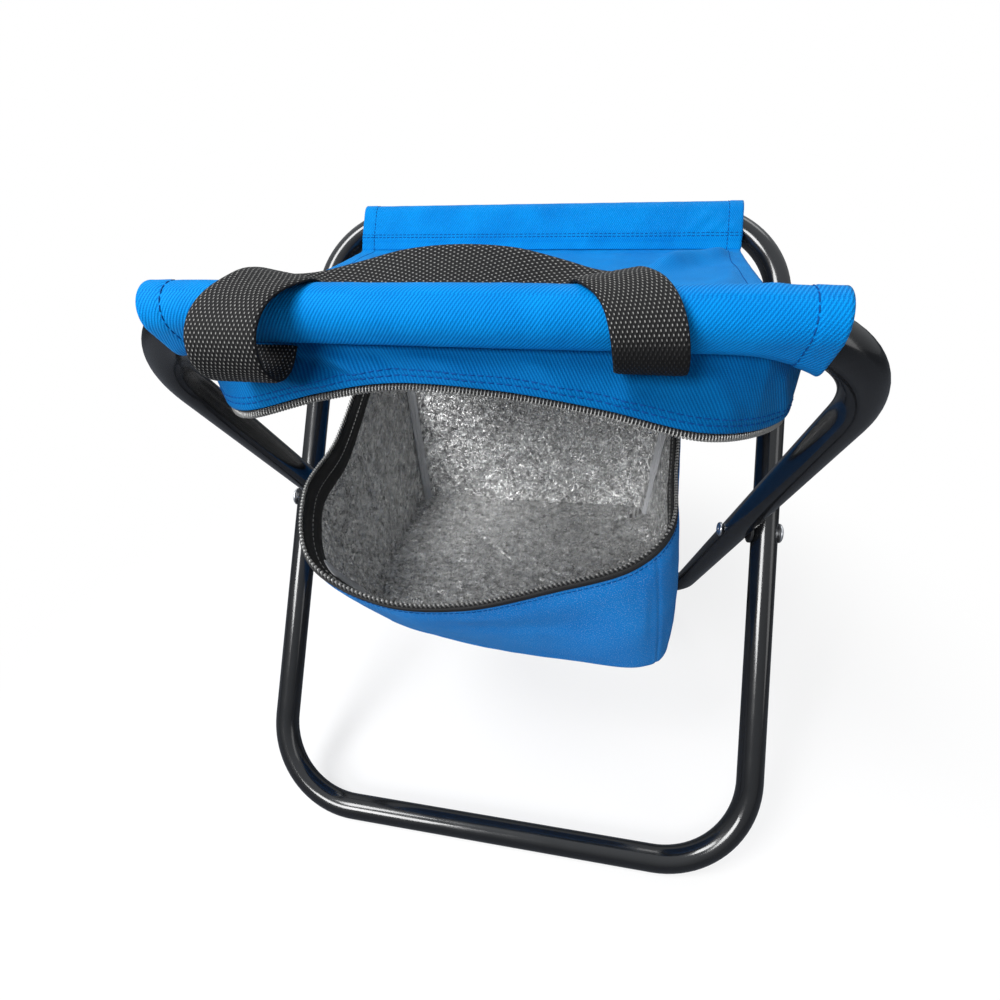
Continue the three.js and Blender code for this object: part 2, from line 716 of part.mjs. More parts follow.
// Tapes inside the bag: one over each upright corner seam, one below the rim
function addBagTapes() {
  const foilTop = floorLift + foamThickness + foilThickness + 2 * layerGap;
  for (const [name, corner] of Object.entries(cornerMarks)) {
    const half = markStep(corner, cornerTapeWidth / 2);
    const place = (mark, row, depth) => {
      const topGap = 2 * layerGap / rimHeight(mark);
      return wallPoint(mark, rowHeight(mark, row, foilTop) - topGap * row / (bagRows - 1), depth);
    };
    const seam = markStep(corner, innerSeamGap);
    const columns = [corner - half, corner - seam, corner + seam, corner + half];
    const rows = steps(0, bagRows - 1, bagRows - 1);
    const near = wallDepth + layerGap;
    const tape = sheet(place, columns, rows, near, near + cornerTapeThickness);
    addPiece(`corner_tape_${name}`, tape, greyTape);
  }

  const columns = wallColumns(...zipRimMarks, 0);
  const tape = wallSheet(columns, [bagRows - 1, bagRows], wallDepth, wallDepth + zipTapeThickness);
  addPiece('zip_tape_lower', tape, blackWebbing);
  const chain = columns.map((mark, k) => {
    const middle = wallPoint(mark, 1, (foilDepth + wallDepth) / 2);
    const facing = levelNormal(rimEdge, mark / wallCount);
    const before = wallPoint(columns[Math.max(0, k - 1)], 1, 0);
    const after = wallPoint(columns[Math.min(columns.length - 1, k + 1)], 1, 0);
    const across = vec(0, 0, 0).crossVectors(facing, after.sub(before)).normalize();
    across.multiplyScalar(Math.sign(across.z));
    middle.addScaledVector(across, 2 * layerGap + zipChainHeight / 2);
    return { middle, across, facing };
  });
  addPiece('zip_chain_lower', band(chain, zipChainHeight, zipChainThickness), zipCoil);
}

// Slider on the right side's straight stretch of the upper chain, and its pull
function addSlider() {
  const chainX = skirtHalfWidth - zipBack;
  const slot = zipChainThickness / 2 + sliderClearance;
  const bridge = -zipChainHeight / 2 - sliderClearance;
  const top = zipChainHeight / 2 + zipTapeShown - sliderClearance;
  const bottom = top - sliderHeight;
  const section = new THREE.Shape([
    [-slot - sliderPlate, bottom],
    [-slot, bottom],
    [-slot, bridge - sliderBridgeHeight],
    [slot, bridge - sliderBridgeHeight],
    [slot, bottom],
    [slot + sliderPlate, bottom],
    [slot + sliderPlate, top],
    [slot, top],
    [slot, bridge],
    [-slot, bridge],
    [-slot, top],
    [-slot - sliderPlate, top],
  ].map(([x, z]) => new THREE.Vector2(x, z)));
  const body = new THREE.ExtrudeGeometry(section, { depth: sliderLength, bevelEnabled: false, steps: 1 });
  body.rotateX(Math.PI / 2);
  body.translate(chainX, sliderRestBack + sliderLength / 2, zipLineHeight);
  addPiece('zip_slider', body, blackPlastic);

  const face = chainX + slot + sliderPlate + layerGap;
  const foot = sliderLength * bailFootShare;
  const crown = sliderLength * bailTopShare;
  const arch = new THREE.Shape([
    [0, -foot],
    [bailReach, -crown],
    [bailReach, crown],
    [0, foot],
    [0, foot - bailThickness],
    [bailReach - bailThickness, crown - bailThickness / 2],
    [bailReach - bailThickness, bailThickness / 2 - crown],
    [0, bailThickness - foot],
  ].map(([x, y]) => new THREE.Vector2(x, y)));
  const bailWidth = bailThickness * 1.5;
  const bail = new THREE.ExtrudeGeometry(arch, { depth: bailWidth, bevelEnabled: false, steps: 1 });
  bail.translate(face, sliderRestBack, zipLineHeight - bailWidth / 2);
  addPiece('zip_slider_bail', bail, blackPlastic);

  // The pull is a fork: its cross bar turns inside the bail, its arms pass either side
  const arm = bailWidth / 2 + sliderClearance;
  const bar = pullThickness / 2;
  const eye = foot + bailThickness;
  const outline = new THREE.Shape([
    [-bar, -pullWidth / 2],
    [pullLength, -pullWidth / 2],
    [pullLength, pullWidth / 2],
    [-bar, pullWidth / 2],
  ].map(([y, z]) => new THREE.Vector2(y, z)));
  outline.holes.push(new THREE.Path([
    [bar, -arm],
    [bar, arm],
    [eye, arm],
    [eye, -arm],
  ].map(([y, z]) => new THREE.Vector2(y, z))));
  const pull = new THREE.ExtrudeGeometry(outline, { depth: pullThickness, bevelEnabled: false, steps: 1 });
  const turned = new THREE.Matrix4().makeBasis(vec(0, -1, 0), vec(0, 0, 1), vec(-1, 0, 0));
  pull.translate(0, 0, -pullThickness / 2);
  pull.applyMatrix4(turned);
  pull.translate(face + (bailReach - bailThickness) / 2, sliderRestBack, zipLineHeight);
  addPiece('zip_pull', pull, blackPlastic);
}

// Tabs that close the ends of the zip at the bag's rear corners
function addEndTabs() {
  for (const [side, name] of [[-1, 'left'], [1, 'right']]) {
    const tab = new THREE.BoxGeometry(endTabThickness, endTabLength, endTabHeight);
    tab.translate(
      side * (skirtHalfWidth + fabricThickness / 2 + layerGap + endTabThickness / 2),
      skirtRearEnd - endTabLength / 2,
      zipLineHeight + (endTabHeight - zipChainHeight) / 2,
    );
    addPiece(`zip_end_tab_${name}`, tab, blackWebbing);
  }
}

// Carry handle
function addHandle() {
  const lift = layerGap + strapThickness / 2;
  const ends = { right: [1, strapLeanRight], left: [-1, strapLeanLeft] };
  const top = Math.PI / 2;
  const under = THREE.MathUtils.degToRad(strapEndAngle);
  const crowns = {};
  for (const [name, [side, lean]] of Object.entries(ends)) {
    const foot = side * strapSpacing / 2 - strapLeftShift;
    const stations = Array.from({ length: strapLoopSteps + 1 }, (_, k) => {
      const t = k / strapLoopSteps;
      const angle = lerp(top, under, t);
      const slack = strapLoopSlack * Math.sin(Math.PI * t ** loopSlackShare);
      const x = foot - side * lean * (1 - t) ** loopLeanShare;
      const section = sleeveSection(-1, x);
      return {
        middle: sleeveSkin(section, angle, lift + slack),
        across: vec(1, 0, 0),
        facing: vec(0, Math.cos(angle), Math.sin(angle)),
      };
    });
    addPiece(`handle_loop_${name}`, band(stations, strapWidth, strapThickness), blackWebbing);
    crowns[name] = stations[0].middle;
  }

  // The grip turns on edge behind the sleeve and stands on the seat
  const { right, left } = crowns;
  const middleX = (right.x + left.x) / 2;
  const halves = [[right, 1, gripShares], [left, -1, gripShares.slice(0, -1).reverse()]];
  const places = halves.flatMap(([crown, side, rows]) => rows.map(([share, back, drop, ...width]) => ({
    middle: vec(
      lerp(crown.x, middleX, share),
      crown.y + layerGap + back * strapWidth,
      crown.z - drop * strapWidth,
    ),
    width: vec(side * width[0], width[1], width[2]),
  })));
  const line = spline(places.map(({ middle }) => middle), false);
  const widths = spline(places.map(({ width }) => width), false);
  const route = steps(0, 1, gripSteps).map((t, k) => {
    const ends = { 0: vec(0, 1, 0), [gripSteps]: vec(0, -1, 0) };
    const run = ends[k] ?? line.getTangent(t);
    const across = widths.getPoint(t).normalize();
    return { middle: line.getPoint(t), across, facing: vec(0, 0, 0).crossVectors(run, across).normalize() };
  });
  addPiece('handle_grip', band(route, strapWidth, strapThickness), blackWebbing);
}

addFrame();
addPivots();
addSeat();
addSkirt();
addUpperZip();
addBag();
addBagTapes();
addSlider();
addEndTabs();
addHandle();

// The origin is on the floor, midway between the foremost and the rearmost point
const bounds = new THREE.Box3().setFromObject(stool);
stool.position.y = -(bounds.min.y + bounds.max.y) / 2;

export default stool;
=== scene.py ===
import math

import bmesh
import bpy
import numpy as np
from mathutils import Matrix, Vector, noise


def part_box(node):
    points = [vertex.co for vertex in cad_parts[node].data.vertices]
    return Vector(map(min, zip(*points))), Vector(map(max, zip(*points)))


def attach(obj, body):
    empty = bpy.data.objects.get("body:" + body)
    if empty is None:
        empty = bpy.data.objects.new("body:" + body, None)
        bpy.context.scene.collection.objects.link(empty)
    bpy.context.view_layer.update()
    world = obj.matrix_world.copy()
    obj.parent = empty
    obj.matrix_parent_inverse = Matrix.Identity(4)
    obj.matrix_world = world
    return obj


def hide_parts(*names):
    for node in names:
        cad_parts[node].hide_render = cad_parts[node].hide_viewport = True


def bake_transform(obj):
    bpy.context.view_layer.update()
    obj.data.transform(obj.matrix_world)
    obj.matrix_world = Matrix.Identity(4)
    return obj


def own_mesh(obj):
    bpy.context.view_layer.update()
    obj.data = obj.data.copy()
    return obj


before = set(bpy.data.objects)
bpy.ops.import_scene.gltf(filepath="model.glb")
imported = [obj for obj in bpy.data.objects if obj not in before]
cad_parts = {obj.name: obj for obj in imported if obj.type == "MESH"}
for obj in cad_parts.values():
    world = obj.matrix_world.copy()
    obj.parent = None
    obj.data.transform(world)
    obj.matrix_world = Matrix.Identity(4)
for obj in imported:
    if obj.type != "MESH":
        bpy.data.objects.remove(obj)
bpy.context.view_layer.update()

# Folding stool with an insulated bag. Sizes are millimetres as in the solids, points are
# turned into metres when a mesh is made. +X right, -Y front, +Z up.

MM = 0.001
RIVET_LOW, RIVET_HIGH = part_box("pivot_rivet_left")
SHIFT = (RIVET_LOW.y + RIVET_HIGH.y) / 2
TAU = 2 * math.pi

# Sizes of the solids: two loops of tube
TUBE_R = 8.0
BORE = 7.0
OUTER_W = 318.0
LEG_GAP = 2.5
INNER_W = OUTER_W - 2 * (2 * TUBE_R + LEG_GAP)
TOP = 349.0
RAIL = 127.0
FLOOR_BAR = 129.5
BEND = 57.0
RISE = TOP - TUBE_R
RUN = RAIL + FLOOR_BAR
LENGTH = math.hypot(RISE, RUN)
PIVOT_Z = TUBE_R + RISE * FLOOR_BAR / RUN

# Layers of cloth, foam and film, and the gap between pieces
FABRIC = 1.2
FOAM = 2.4
FOIL = 0.8
GAP = 0.3

# Sleeves and seat
SLEEVE_FABRIC = 0.8
SLEEVE_R = TUBE_R + 0.6 + SLEEVE_FABRIC
REAR_HALF = OUTER_W / 2 - 27
FRONT_HALF = INNER_W / 2 - 27
FRONT_SLACK = 2.0
REAR_SLACK = 17.2
SEAT_DROP = 18.0

# Skirt and zip
CLEAR_HALF = INNER_W / 2 - TUBE_R
SKIRT_HALF = CLEAR_HALF - 16.5
SKIRT_REAR = 97.0
ZIP_Z = TOP - 42.6
ZIP_REACH = 9.0
ZIP_RISE = 19.2
CORNER_BACK = 100.0
STRAIGHT_END = 60.0
TAPE_W = 12.0
TAPE_SHOWN = 1.0
TAPE_T = 0.8
CHAIN_H = 2.6
CHAIN_T = 2.2
TEETH_PITCH = 1.25

# Bag
BAG_HALF = CLEAR_HALF - 30.0
BAG_LEFT = 2.5
BAG_DEPTH = 84.0
BAG_BACK = 6.0
BAG_Z = TOP - 222.0
BAG_BULGE = 1.5
BAG_TOP = TOP - SEAT_DROP - FABRIC - 0.5
BAG_EDGE = 4.5
RIM_TAPE = 13.0

# Strap
STRAP_W = 25.0
STRAP_T = 1.6
# Millimetres in one unit of the weave coordinates
WEAVE_UNIT = 100.0


# Numbers

def lerp(a, b, t):
    return a + (b - a) * t


def unit(v):
    return v / np.maximum(np.linalg.norm(v, axis=-1, keepdims=True), 1e-12)


def soft(low, high, x):
    t = np.clip((x - low) / (high - low), 0, 1)
    return t * t * (3 - 2 * t)


def bell(x, width):
    return np.exp(-(x / width) ** 2)


def lengths(points):
    """Distance along a line of points, from its first to each of them."""
    return np.concatenate([[0], np.cumsum(np.linalg.norm(np.diff(points, axis=0), axis=1))])


def sampled(at, length, values):
    """Values known at some lengths along a line, read off at other lengths."""
    return np.stack([np.interp(at, length, values[:, k]) for k in range(3)], -1)


def stack(*parts):
    return np.stack(np.broadcast_arrays(*[np.asarray(p, float) for p in parts]), -1)


def crossed(rows, columns):
    return np.meshgrid(rows, columns, indexing="ij")


def ridges(table, u, v):
    """Sum of soft folds, each from (u0, v0) to (u1, v1) with a width and a height, faded at its ends."""
    total = np.zeros(np.broadcast(u, v).shape)
    for u0, v0, u1, v1, width, height in table:
        du, dv = u1 - u0, v1 - v0
        length = math.hypot(du, dv)
        t = ((u - u0) * du + (v - v0) * dv) / length ** 2
        off = ((u - u0) * dv - (v - v0) * du) / length
        total = total + height * bell(off, width) * soft(-0.15, 0.3, t) * soft(1.15, 0.7, t)
    return total


def grain(points, scale, seed=0.0):
    """Smooth noise at an array of points, about -1 to 1."""
    flat = np.asarray(points, float).reshape(-1, 3) / scale + seed
    return np.array([noise.noise(p) for p in flat]).reshape(np.asarray(points).shape[:-1])


class Spline:
    """Centripetal Catmull-Rom through its points; t runs from 0 to 1."""

    def __init__(self, points, closed):
        self.points = np.array(points, float)
        self.closed = closed
        self.spans = len(points) - (0 if closed else 1)

    def at(self, t):
        t = np.asarray(t, float)
        q = t * self.spans
        p = self.points
        if self.closed:
            i = np.floor(q).astype(int)
            w = q - i
            n = len(p)
            near = [p[(i + k) % n] for k in (-1, 0, 1, 2)]
        else:
            i = np.clip(np.floor(q).astype(int), 0, self.spans - 1)
            w = q - i
            p = np.vstack([2 * p[0] - p[1], p, 2 * p[-1] - p[-2]])
            near = [p[i + k] for k in (0, 1, 2, 3)]
        d = [np.sqrt(np.linalg.norm(near[k + 1] - near[k], axis=-1))[..., None] for k in range(3)]
        a, b, c, e = near
        t1 = ((b - a) / d[0] - (c - a) / (d[0] + d[1]) + (c - b) / d[1]) * d[1]
        t2 = ((c - b) / d[1] - (e - b) / (d[1] + d[2]) + (e - c) / d[2]) * d[1]
        w = w[..., None]
        return b + t1 * w + (3 * (c - b) - 2 * t1 - t2) * w ** 2 + (2 * (b - c) + t1 + t2) * w ** 3

    def run(self, t):
        step = 1e-4
        low, high = t - step, t + step
        if not self.closed:
            low, high = np.maximum(low, 0), np.minimum(high, 1)
        return unit(self.at(high) - self.at(low))

    def outward(self, t):
        run = self.run(t)
        return unit(stack(run[..., 1], -run[..., 0], 0 * run[..., 0]))


# Meshes

class Soup:
    """Vertices, faces and their weave coordinates, gathered until the mesh is made."""

    def __init__(self):
        self.points = []
        self.count = 0
        self.faces = []
        self.weave = []

    def put(self, points):
        points = np.asarray(points, float)
        index = np.arange(points[..., 0].size).reshape(points.shape[:-1]) + self.count
        self.points.append(points.reshape(-1, 3))
        self.count += index.size
        return index

    def skin(self, index, weave=None, wrap=False, flip=False):
        if wrap:
            index = np.concatenate([index, index[:, :1]], 1)
        if weave is None:
            weave = np.zeros(index.shape + (2,))
        corners = [(0, 0), (0, 1), (1, 1), (1, 0)]
        if flip:
            corners = corners[::-1]
        r, c = index.shape
        pick = lambda grid: [grid[a:r - 1 + a, b:c - 1 + b] for a, b in corners]
        self.faces += np.stack(pick(index), -1).reshape(-1, 4).tolist()
        self.weave.append(np.stack(pick(weave), -2).reshape(-1, 2))

    def fan(self, ring, weave, middle, middle_weave, flip=False):
        centre = int(self.put(np.asarray(middle, float)[None])[0])
        n = len(ring)
        for k in range(n):
            tri = [int(ring[k]), int(ring[(k + 1) % n]), centre]
            uv = [weave[k], weave[(k + 1) % n], middle_weave]
            self.faces.append(tri[::-1] if flip else tri)
            self.weave.append(np.array(uv[::-1] if flip else uv, float))

    def face(self, ring, flip=False):
        ring = [int(i) for i in ring]
        self.faces.append(ring[::-1] if flip else ring)
        self.weave.append(np.zeros((len(ring), 2)))

    def make(self, name, material):
        mesh = bpy.data.meshes.new(name)
        points = np.concatenate(self.points) * MM
        points[:, 1] += SHIFT
        mesh.from_pydata(points.tolist(), [], self.faces)
        layer = mesh.uv_layers.new(name="Weave")
        weave = np.concatenate(self.weave) / WEAVE_UNIT
        layer.data.foreach_set("uv", weave.astype(np.float32).ravel())
        work = bmesh.new()
        work.from_mesh(mesh)
        bmesh.ops.recalc_face_normals(work, faces=work.faces)
        work.to_mesh(mesh)
        work.free()
        return add_piece(name, mesh, material)


def add_piece(name, mesh, material):
    """A smooth-shaded piece in the scene, with its material."""
    mesh.polygons.foreach_set("use_smooth", np.ones(len(mesh.polygons), bool))
    mesh.materials.append(material)
    mesh.update()
    piece = bpy.data.objects.new(name, mesh)
    bpy.context.scene.collection.objects.link(piece)
    return piece


def closed_sheet(soup, top, under, weave, wrap=False):
    """A sheet with both faces and its edges. Grids are rows by columns."""
    a, b = soup.put(top), soup.put(under)
    soup.skin(a, weave, wrap)
    soup.skin(b, weave, wrap, flip=True)
    for row in (0, -1):
        soup.skin(np.stack([a[row], b[row]]), np.stack([weave[row]] * 2), wrap, flip=row == 0)
    if not wrap:
        for column in (0, -1):
            soup.skin(np.stack([a[:, column], b[:, column]]), np.stack([weave[:, column]] * 2),
                      flip=column == -1)


def sheet_piece(name, material, nodes, top, under, weave, wrap=False):
    """A closed sheet as a piece that takes the place of nodes of the frame."""
    soup = Soup()
    closed_sheet(soup, top, under, weave, wrap)
    piece = soup.make(name, material)
    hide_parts(*nodes)
    return piece


def weave_grid(points):
    """Lengths along rows and columns of rings of points, as cloth lies in them."""
    closed = np.concatenate([points, points[:, :1]], 1)
    across = np.linalg.norm(np.diff(closed, axis=1), axis=-1).mean(0)
    down = np.linalg.norm(np.diff(closed, axis=0), axis=-1)
    u = np.broadcast_to(np.concatenate([[0], np.cumsum(across)]), closed.shape[:2])
    v = np.concatenate([np.zeros((1, closed.shape[1])), np.cumsum(down, 0)])
    return stack(u, v)


def outward_normals(points, rows=slice(None)):
    """Unit normals of rings of points, turned away from the middle of the rows named."""
    down = np.roll(points, -1, 1) - np.roll(points, 1, 1)
    normal = unit(np.cross(down, np.gradient(points, axis=0)))
    off = points[rows] - points[rows].mean(-2, keepdims=True)
    return -normal if (normal[rows] * off).sum() < 0 else normal


def instances(soup, template, faces, origins, xs, ys, zs):
    """Copies of a small template at many frames."""
    template = np.asarray(template, float)
    points = (origins[:, None] + template[None, :, :1] * xs[:, None] + template[None, :, 1:2] * ys[:, None]
              + template[None, :, 2:] * zs[:, None])
    index = soup.put(points)
    for row in index.tolist():
        for face in faces:
            soup.faces.append([row[k] for k in face])
            soup.weave.append(np.zeros((len(face), 2)))


def barrel(stations, sides):
    """A small lofted body along x: stations are (x, z shift, half y, half z)."""
    points = []
    faces = []
    for x, lift, ry, rz in stations:
        for k in range(sides):
            a = TAU * k / sides
            points.append((x, ry * math.cos(a), lift + rz * math.sin(a)))
    for i in range(len(stations) - 1):
        for k in range(sides):
            n = (k + 1) % sides
            faces.append((i * sides + k, i * sides + n, (i + 1) * sides + n, (i + 1) * sides + k))
    faces.append(tuple(range(sides))[::-1])
    last = (len(stations) - 1) * sides
    faces.append(tuple(last + k for k in range(sides)))
    return points, faces


def along(path, pitch, normals):
    """Even places along a line of points: origins, directions, normals."""
    length = lengths(path)
    at = np.arange(pitch / 2, length[-1], pitch)
    run = unit(sampled(at + 0.4, length, path) - sampled(at - 0.4, length, path))
    normal = sampled(at, length, normals)
    normal = unit(normal - run * (normal * run).sum(-1, keepdims=True))
    return sampled(at, length, path), run, normal


def stitched(name, material, lines, length=2.5, space=0.55, thread=0.24):
    """Rows of thread stitches half sunk in the cloth; each row is a path and its normals."""
    half = length / 2
    end, bend, crest = (0.5, 0.4), (0.95, 0.9), (1, 1)
    shape = [(-1, -0.9, *end), (-0.78, 0.1, *bend), (-0.3, 0.55, *crest),
             (0.3, 0.55, *crest), (0.78, 0.1, *bend), (1, -0.9, *end)]
    points, faces = barrel([(x * half, z * thread, y * thread, r * thread) for x, z, y, r in shape], 6)
    soup = Soup()
    for path, normals in lines:
        origin, run, normal = along(path, length + space, normals)
        instances(soup, points, faces, origin, run, np.cross(normal, run), normal)
    return soup.make(name, material)


# Materials

def empty_tree(owner):
    owner.use_nodes = True
    owner.node_tree.nodes.clear()
    return owner.node_tree


def shader(name):
    material = bpy.data.materials.new(name)
    tree = empty_tree(material)
    out = tree.nodes.new("ShaderNodeOutputMaterial")
    body = tree.nodes.new("ShaderNodeBsdfPrincipled")
    tree.links.new(body.outputs[0], out.inputs[0])
    return material, tree, body


def node(tree, kind, inputs=(), out=0, **settings):
    made = tree.nodes.new(kind)
    for key, value in settings.items():
        setattr(made, key, value)
    for key, value in dict(inputs).items():
        if isinstance(value, bpy.types.NodeSocket):
            tree.links.new(value, made.inputs[key])
        else:
            made.inputs[key].default_value = value
    return made.outputs[out]


def math_node(tree, operation, a, b=0.0, c=0.0):
    return node(tree, "ShaderNodeMath", {0: a, 1: b, 2: c}, operation=operation)


def vector_node(tree, operation, inputs, out=0):
    return node(tree, "ShaderNodeVectorMath", inputs, out, operation=operation)


def ranged(tree, x, low, high, first, last, kind="LINEAR"):
    """A value that runs from first to last while x runs from low to high."""
    inputs = {0: x, 1: low, 2: high, 3: first, 4: last}
    return node(tree, "ShaderNodeMapRange", inputs, interpolation_type=kind)


def cloud(tree, place, scale, detail, rough=0.5, out=0):
    inputs = {"Vector": place, "Scale": scale, "Detail": detail, "Roughness": rough}
    return node(tree, "ShaderNodeTexNoise", inputs, out)


def weave_axes(tree):
    """Weave coordinates in millimetres, together and as u across and v along."""
    uv = node(tree, "ShaderNodeUVMap", uv_map="Weave")
    flat = vector_node(tree, "SCALE", {0: uv, 3: WEAVE_UNIT})
    split = tree.nodes.new("ShaderNodeSeparateXYZ")
    tree.links.new(flat, split.inputs[0])
    return flat, split.outputs[0], split.outputs[1]


def cosine(tree, x, pitch):
    return math_node(tree, "COSINE", math_node(tree, "MULTIPLY", x, TAU / pitch))


def wave(tree, x, pitch):
    """Cosine of a length, one turn each pitch, from 0 to 1."""
    return math_node(tree, "MULTIPLY_ADD", cosine(tree, x, pitch), 0.5, 0.5)


def blend_colour(tree, factor, a, b):
    colours = {6: a, 7: b}
    inputs = {key: c if isinstance(c, bpy.types.NodeSocket) else (*c, 1) for key, c in colours.items()}
    return node(tree, "ShaderNodeMix", {0: factor, **inputs}, 2, data_type="RGBA")


def finish(tree, body, colour, rough, height, distance, strength, below=None, **values):
    """Colour, roughness and relief of a surface, with its other values."""
    tree.links.new(colour, body.inputs["Base Color"])
    tree.links.new(rough, body.inputs["Roughness"])
    for key, value in values.items():
        body.inputs[key.replace("_", " ")].default_value = value
    inputs = {"Height": height, "Distance": distance * MM, "Strength": strength}
    if below is not None:
        inputs["Normal"] = below
    tree.links.new(node(tree, "ShaderNodeBump", inputs), body.inputs["Normal"])


def fabric_material(name, dark, light, speck=0.0, pitch=1.3):
    """Polyester twill: slanted ribs with single threads in them, a cloudy tone and a soft sheen."""
    material, tree, body = shader(name)
    flat, u, v = weave_axes(tree)
    ribs = wave(tree, math_node(tree, "MULTIPLY_ADD", v, 0.62, u), pitch)
    threads = math_node(tree, "MULTIPLY", wave(tree, u, 0.62), wave(tree, v, 0.62))
    height = math_node(tree, "MULTIPLY_ADD", threads, 0.55, ribs)
    clouds = math_node(tree, "MULTIPLY_ADD", cloud(tree, flat, 0.035, 3.0), 0.5, -0.22)
    fuzz = cloud(tree, flat, 2.6, 2.0, 0.7)
    tone = math_node(tree, "ADD", math_node(tree, "MULTIPLY_ADD", height, 0.42, clouds), -0.22)
    colour = blend_colour(tree, math_node(tree, "MULTIPLY_ADD", fuzz, 0.5, tone), dark, light)
    if speck:
        spots = ranged(tree, cloud(tree, flat, 1.5, 1.0), 0.56, 0.72, 0.0, speck)
        colour = blend_colour(tree, spots, colour, (0.45, 0.56, 0.68))
    finish(tree, body, colour, ranged(tree, ribs, 0.0, 1.0, 0.74, 0.52), height, 0.14, 0.85,
           Specular_IOR_Level=0.14, Specular_Tint=(0.15, 0.6, 1, 1),
           Sheen_Weight=0.07, Sheen_Roughness=0.35, Sheen_Tint=(0.2, 0.6, 1, 1))
    return material


def webbing_material(name):
    """Basket-woven black webbing: small pale floats in staggered rows, faded out near the strap's start as
    painted shade.
    """
    material, tree, body = shader(name)
    flat, u, v = weave_axes(tree)
    dots = math_node(tree, "MULTIPLY", cosine(tree, u, 1.5), cosine(tree, v, 2.6))
    floats = ranged(tree, dots, 0.5, 0.92, 0.0, 1.0, "SMOOTHSTEP")
    hairs = math_node(tree, "MULTIPLY_ADD", cloud(tree, flat, 3.5, 3.0, 0.7), 1.1, 0.25)
    floats = math_node(tree, "MULTIPLY", floats, hairs)
    # Painted shade: the pale floats fade out over the strap's first 26 mm, where the right loop turns under
    # the rail
    floats = math_node(tree, "MULTIPLY", floats, ranged(tree, v, 22.0, 26.0, 0.08, 1.0))
    colour = blend_colour(tree, floats, (0.006, 0.006, 0.0065), (0.31, 0.31, 0.30))
    height = math_node(tree, "MULTIPLY_ADD", dots, 0.5, 0.5)
    finish(tree, body, colour, ranged(tree, floats, 0.0, 1.0, 0.66, 0.42), height, 0.35, 0.9,
           Specular_IOR_Level=0.16, Sheen_Weight=0.02, Sheen_Roughness=0.4)
    return material


def tape_material(name, dark, light, pitch=0.9):
    """Narrow woven tape with a herringbone."""
    material, tree, body = shader(name)
    flat, u, v = weave_axes(tree)
    ribs = wave(tree, math_node(tree, "ADD", u, math_node(tree, "PINGPONG", v, 1.6)), pitch)
    tone = math_node(tree, "MULTIPLY", ribs, cloud(tree, flat, 3.0, 2.0))
    finish(tree, body, blend_colour(tree, tone, dark, light), ranged(tree, tone, 0.0, 0.8, 0.75, 0.5),
           ribs, 0.12, 0.8, Specular_IOR_Level=0.4)
    return material


def foil_material(name):
    """Metallised film creased all over: cells of two sizes tip its surface in every direction, and each
    cell's colour is made lighter or darker as painted glints and shade.
    """
    material, tree, body = shader(name)
    flat = weave_axes(tree)[0]
    warp = cloud(tree, flat, 0.5, 3.0, out=1)
    bent = vector_node(tree, "MULTIPLY_ADD", {0: warp, 1: (3.0, 3.0, 3.0), 2: flat})
    tips = []
    cell_glints = []
    for scale, reach in ((1.15, 1.3), (0.30, 0.6)):
        cells = node(tree, "ShaderNodeTexVoronoi", {"Vector": bent, "Scale": scale}, out=1)
        cell_glints.append(vector_node(tree, "DOT_PRODUCT", {0: cells, 1: (0.34, 0.33, 0.33)}, out=1))
        off = vector_node(tree, "SUBTRACT", {0: cells, 1: (0.5, 0.5, 0.5)})
        tips.append(vector_node(tree, "SCALE", {0: off, 3: reach}))
    straight = node(tree, "ShaderNodeNewGeometry", out=1)
    tipped = vector_node(tree, "ADD", {0: straight, 1: vector_node(tree, "ADD", dict(enumerate(tips)))})
    tipped = vector_node(tree, "NORMALIZE", {0: tipped})
    creases = cloud(tree, bent, 0.12, 4.0, 0.62)
    # Painted glints: each crease cell gets a lighter or darker colour, as if its facet catches the light or
    # not
    painted_glint = math_node(tree, "MULTIPLY_ADD", cell_glints[0], 0.65, math_node(tree, "MULTIPLY", cell_glints[1], 0.35))
    painted_glint = ranged(tree, painted_glint, 0.36, 0.58, 0.0, 1.0)
    film = blend_colour(tree, creases, (0.99, 0.99, 0.97), (0.84, 0.84, 0.84))
    colour = blend_colour(tree, painted_glint, (0.26, 0.26, 0.263), film)
    finish(tree, body, colour, ranged(tree, creases, 0.35, 0.7, 0.2, 0.36), creases, 5.0, 0.55, tipped,
           Metallic=0.54, Specular_IOR_Level=1.0)
    return material


def plain_material(name, colour, other, rough, spread, scale, relief, metal=0.0, coat=0.0, specular=0.5):
    """Paint, steel, plastic, foam or thread: tone, roughness and relief vary over the surface."""
    material, tree, body = shader(name)
    place = node(tree, "ShaderNodeTexCoord", out=3)
    fine = cloud(tree, place, scale, 3.0)
    broad = cloud(tree, place, scale / 22, 3.0)
    mix = math_node(tree, "MULTIPLY_ADD", fine, 0.4, math_node(tree, "MULTIPLY", broad, 0.6))
    finish(tree, body, blend_colour(tree, mix, colour, other),
           ranged(tree, broad, 0.3, 0.7, rough - spread, rough + spread), fine, relief, 0.5,
           Metallic=metal, Coat_Weight=coat, Specular_IOR_Level=specular)
    return material


BLUE = fabric_material("blue_twill", (0.0006, 0.105, 0.39), (0.0022, 0.35, 0.86))
# The skirt's copy of the blue twill is darker: painted shade, for the skirt hanging in the sleeve's shadow
SHADED_SKIRT_BLUE = fabric_material("blue_skirt_twill_painted_shade", (0.0005, 0.055, 0.20), (0.0016, 0.18, 0.48))
BLUE_SHELL = fabric_material("blue_bag_twill", (0.004, 0.118, 0.42), (0.017, 0.27, 0.71), 0.3, 0.85)
WEBBING = webbing_material("black_webbing_weave")
TAPE = tape_material("black_zip_tape", (0.004, 0.004, 0.0045), (0.028, 0.028, 0.03))
BINDING = tape_material("grey_binding", (0.42, 0.43, 0.45), (0.78, 0.79, 0.81), 0.8)
SILVER = foil_material("silver_film")
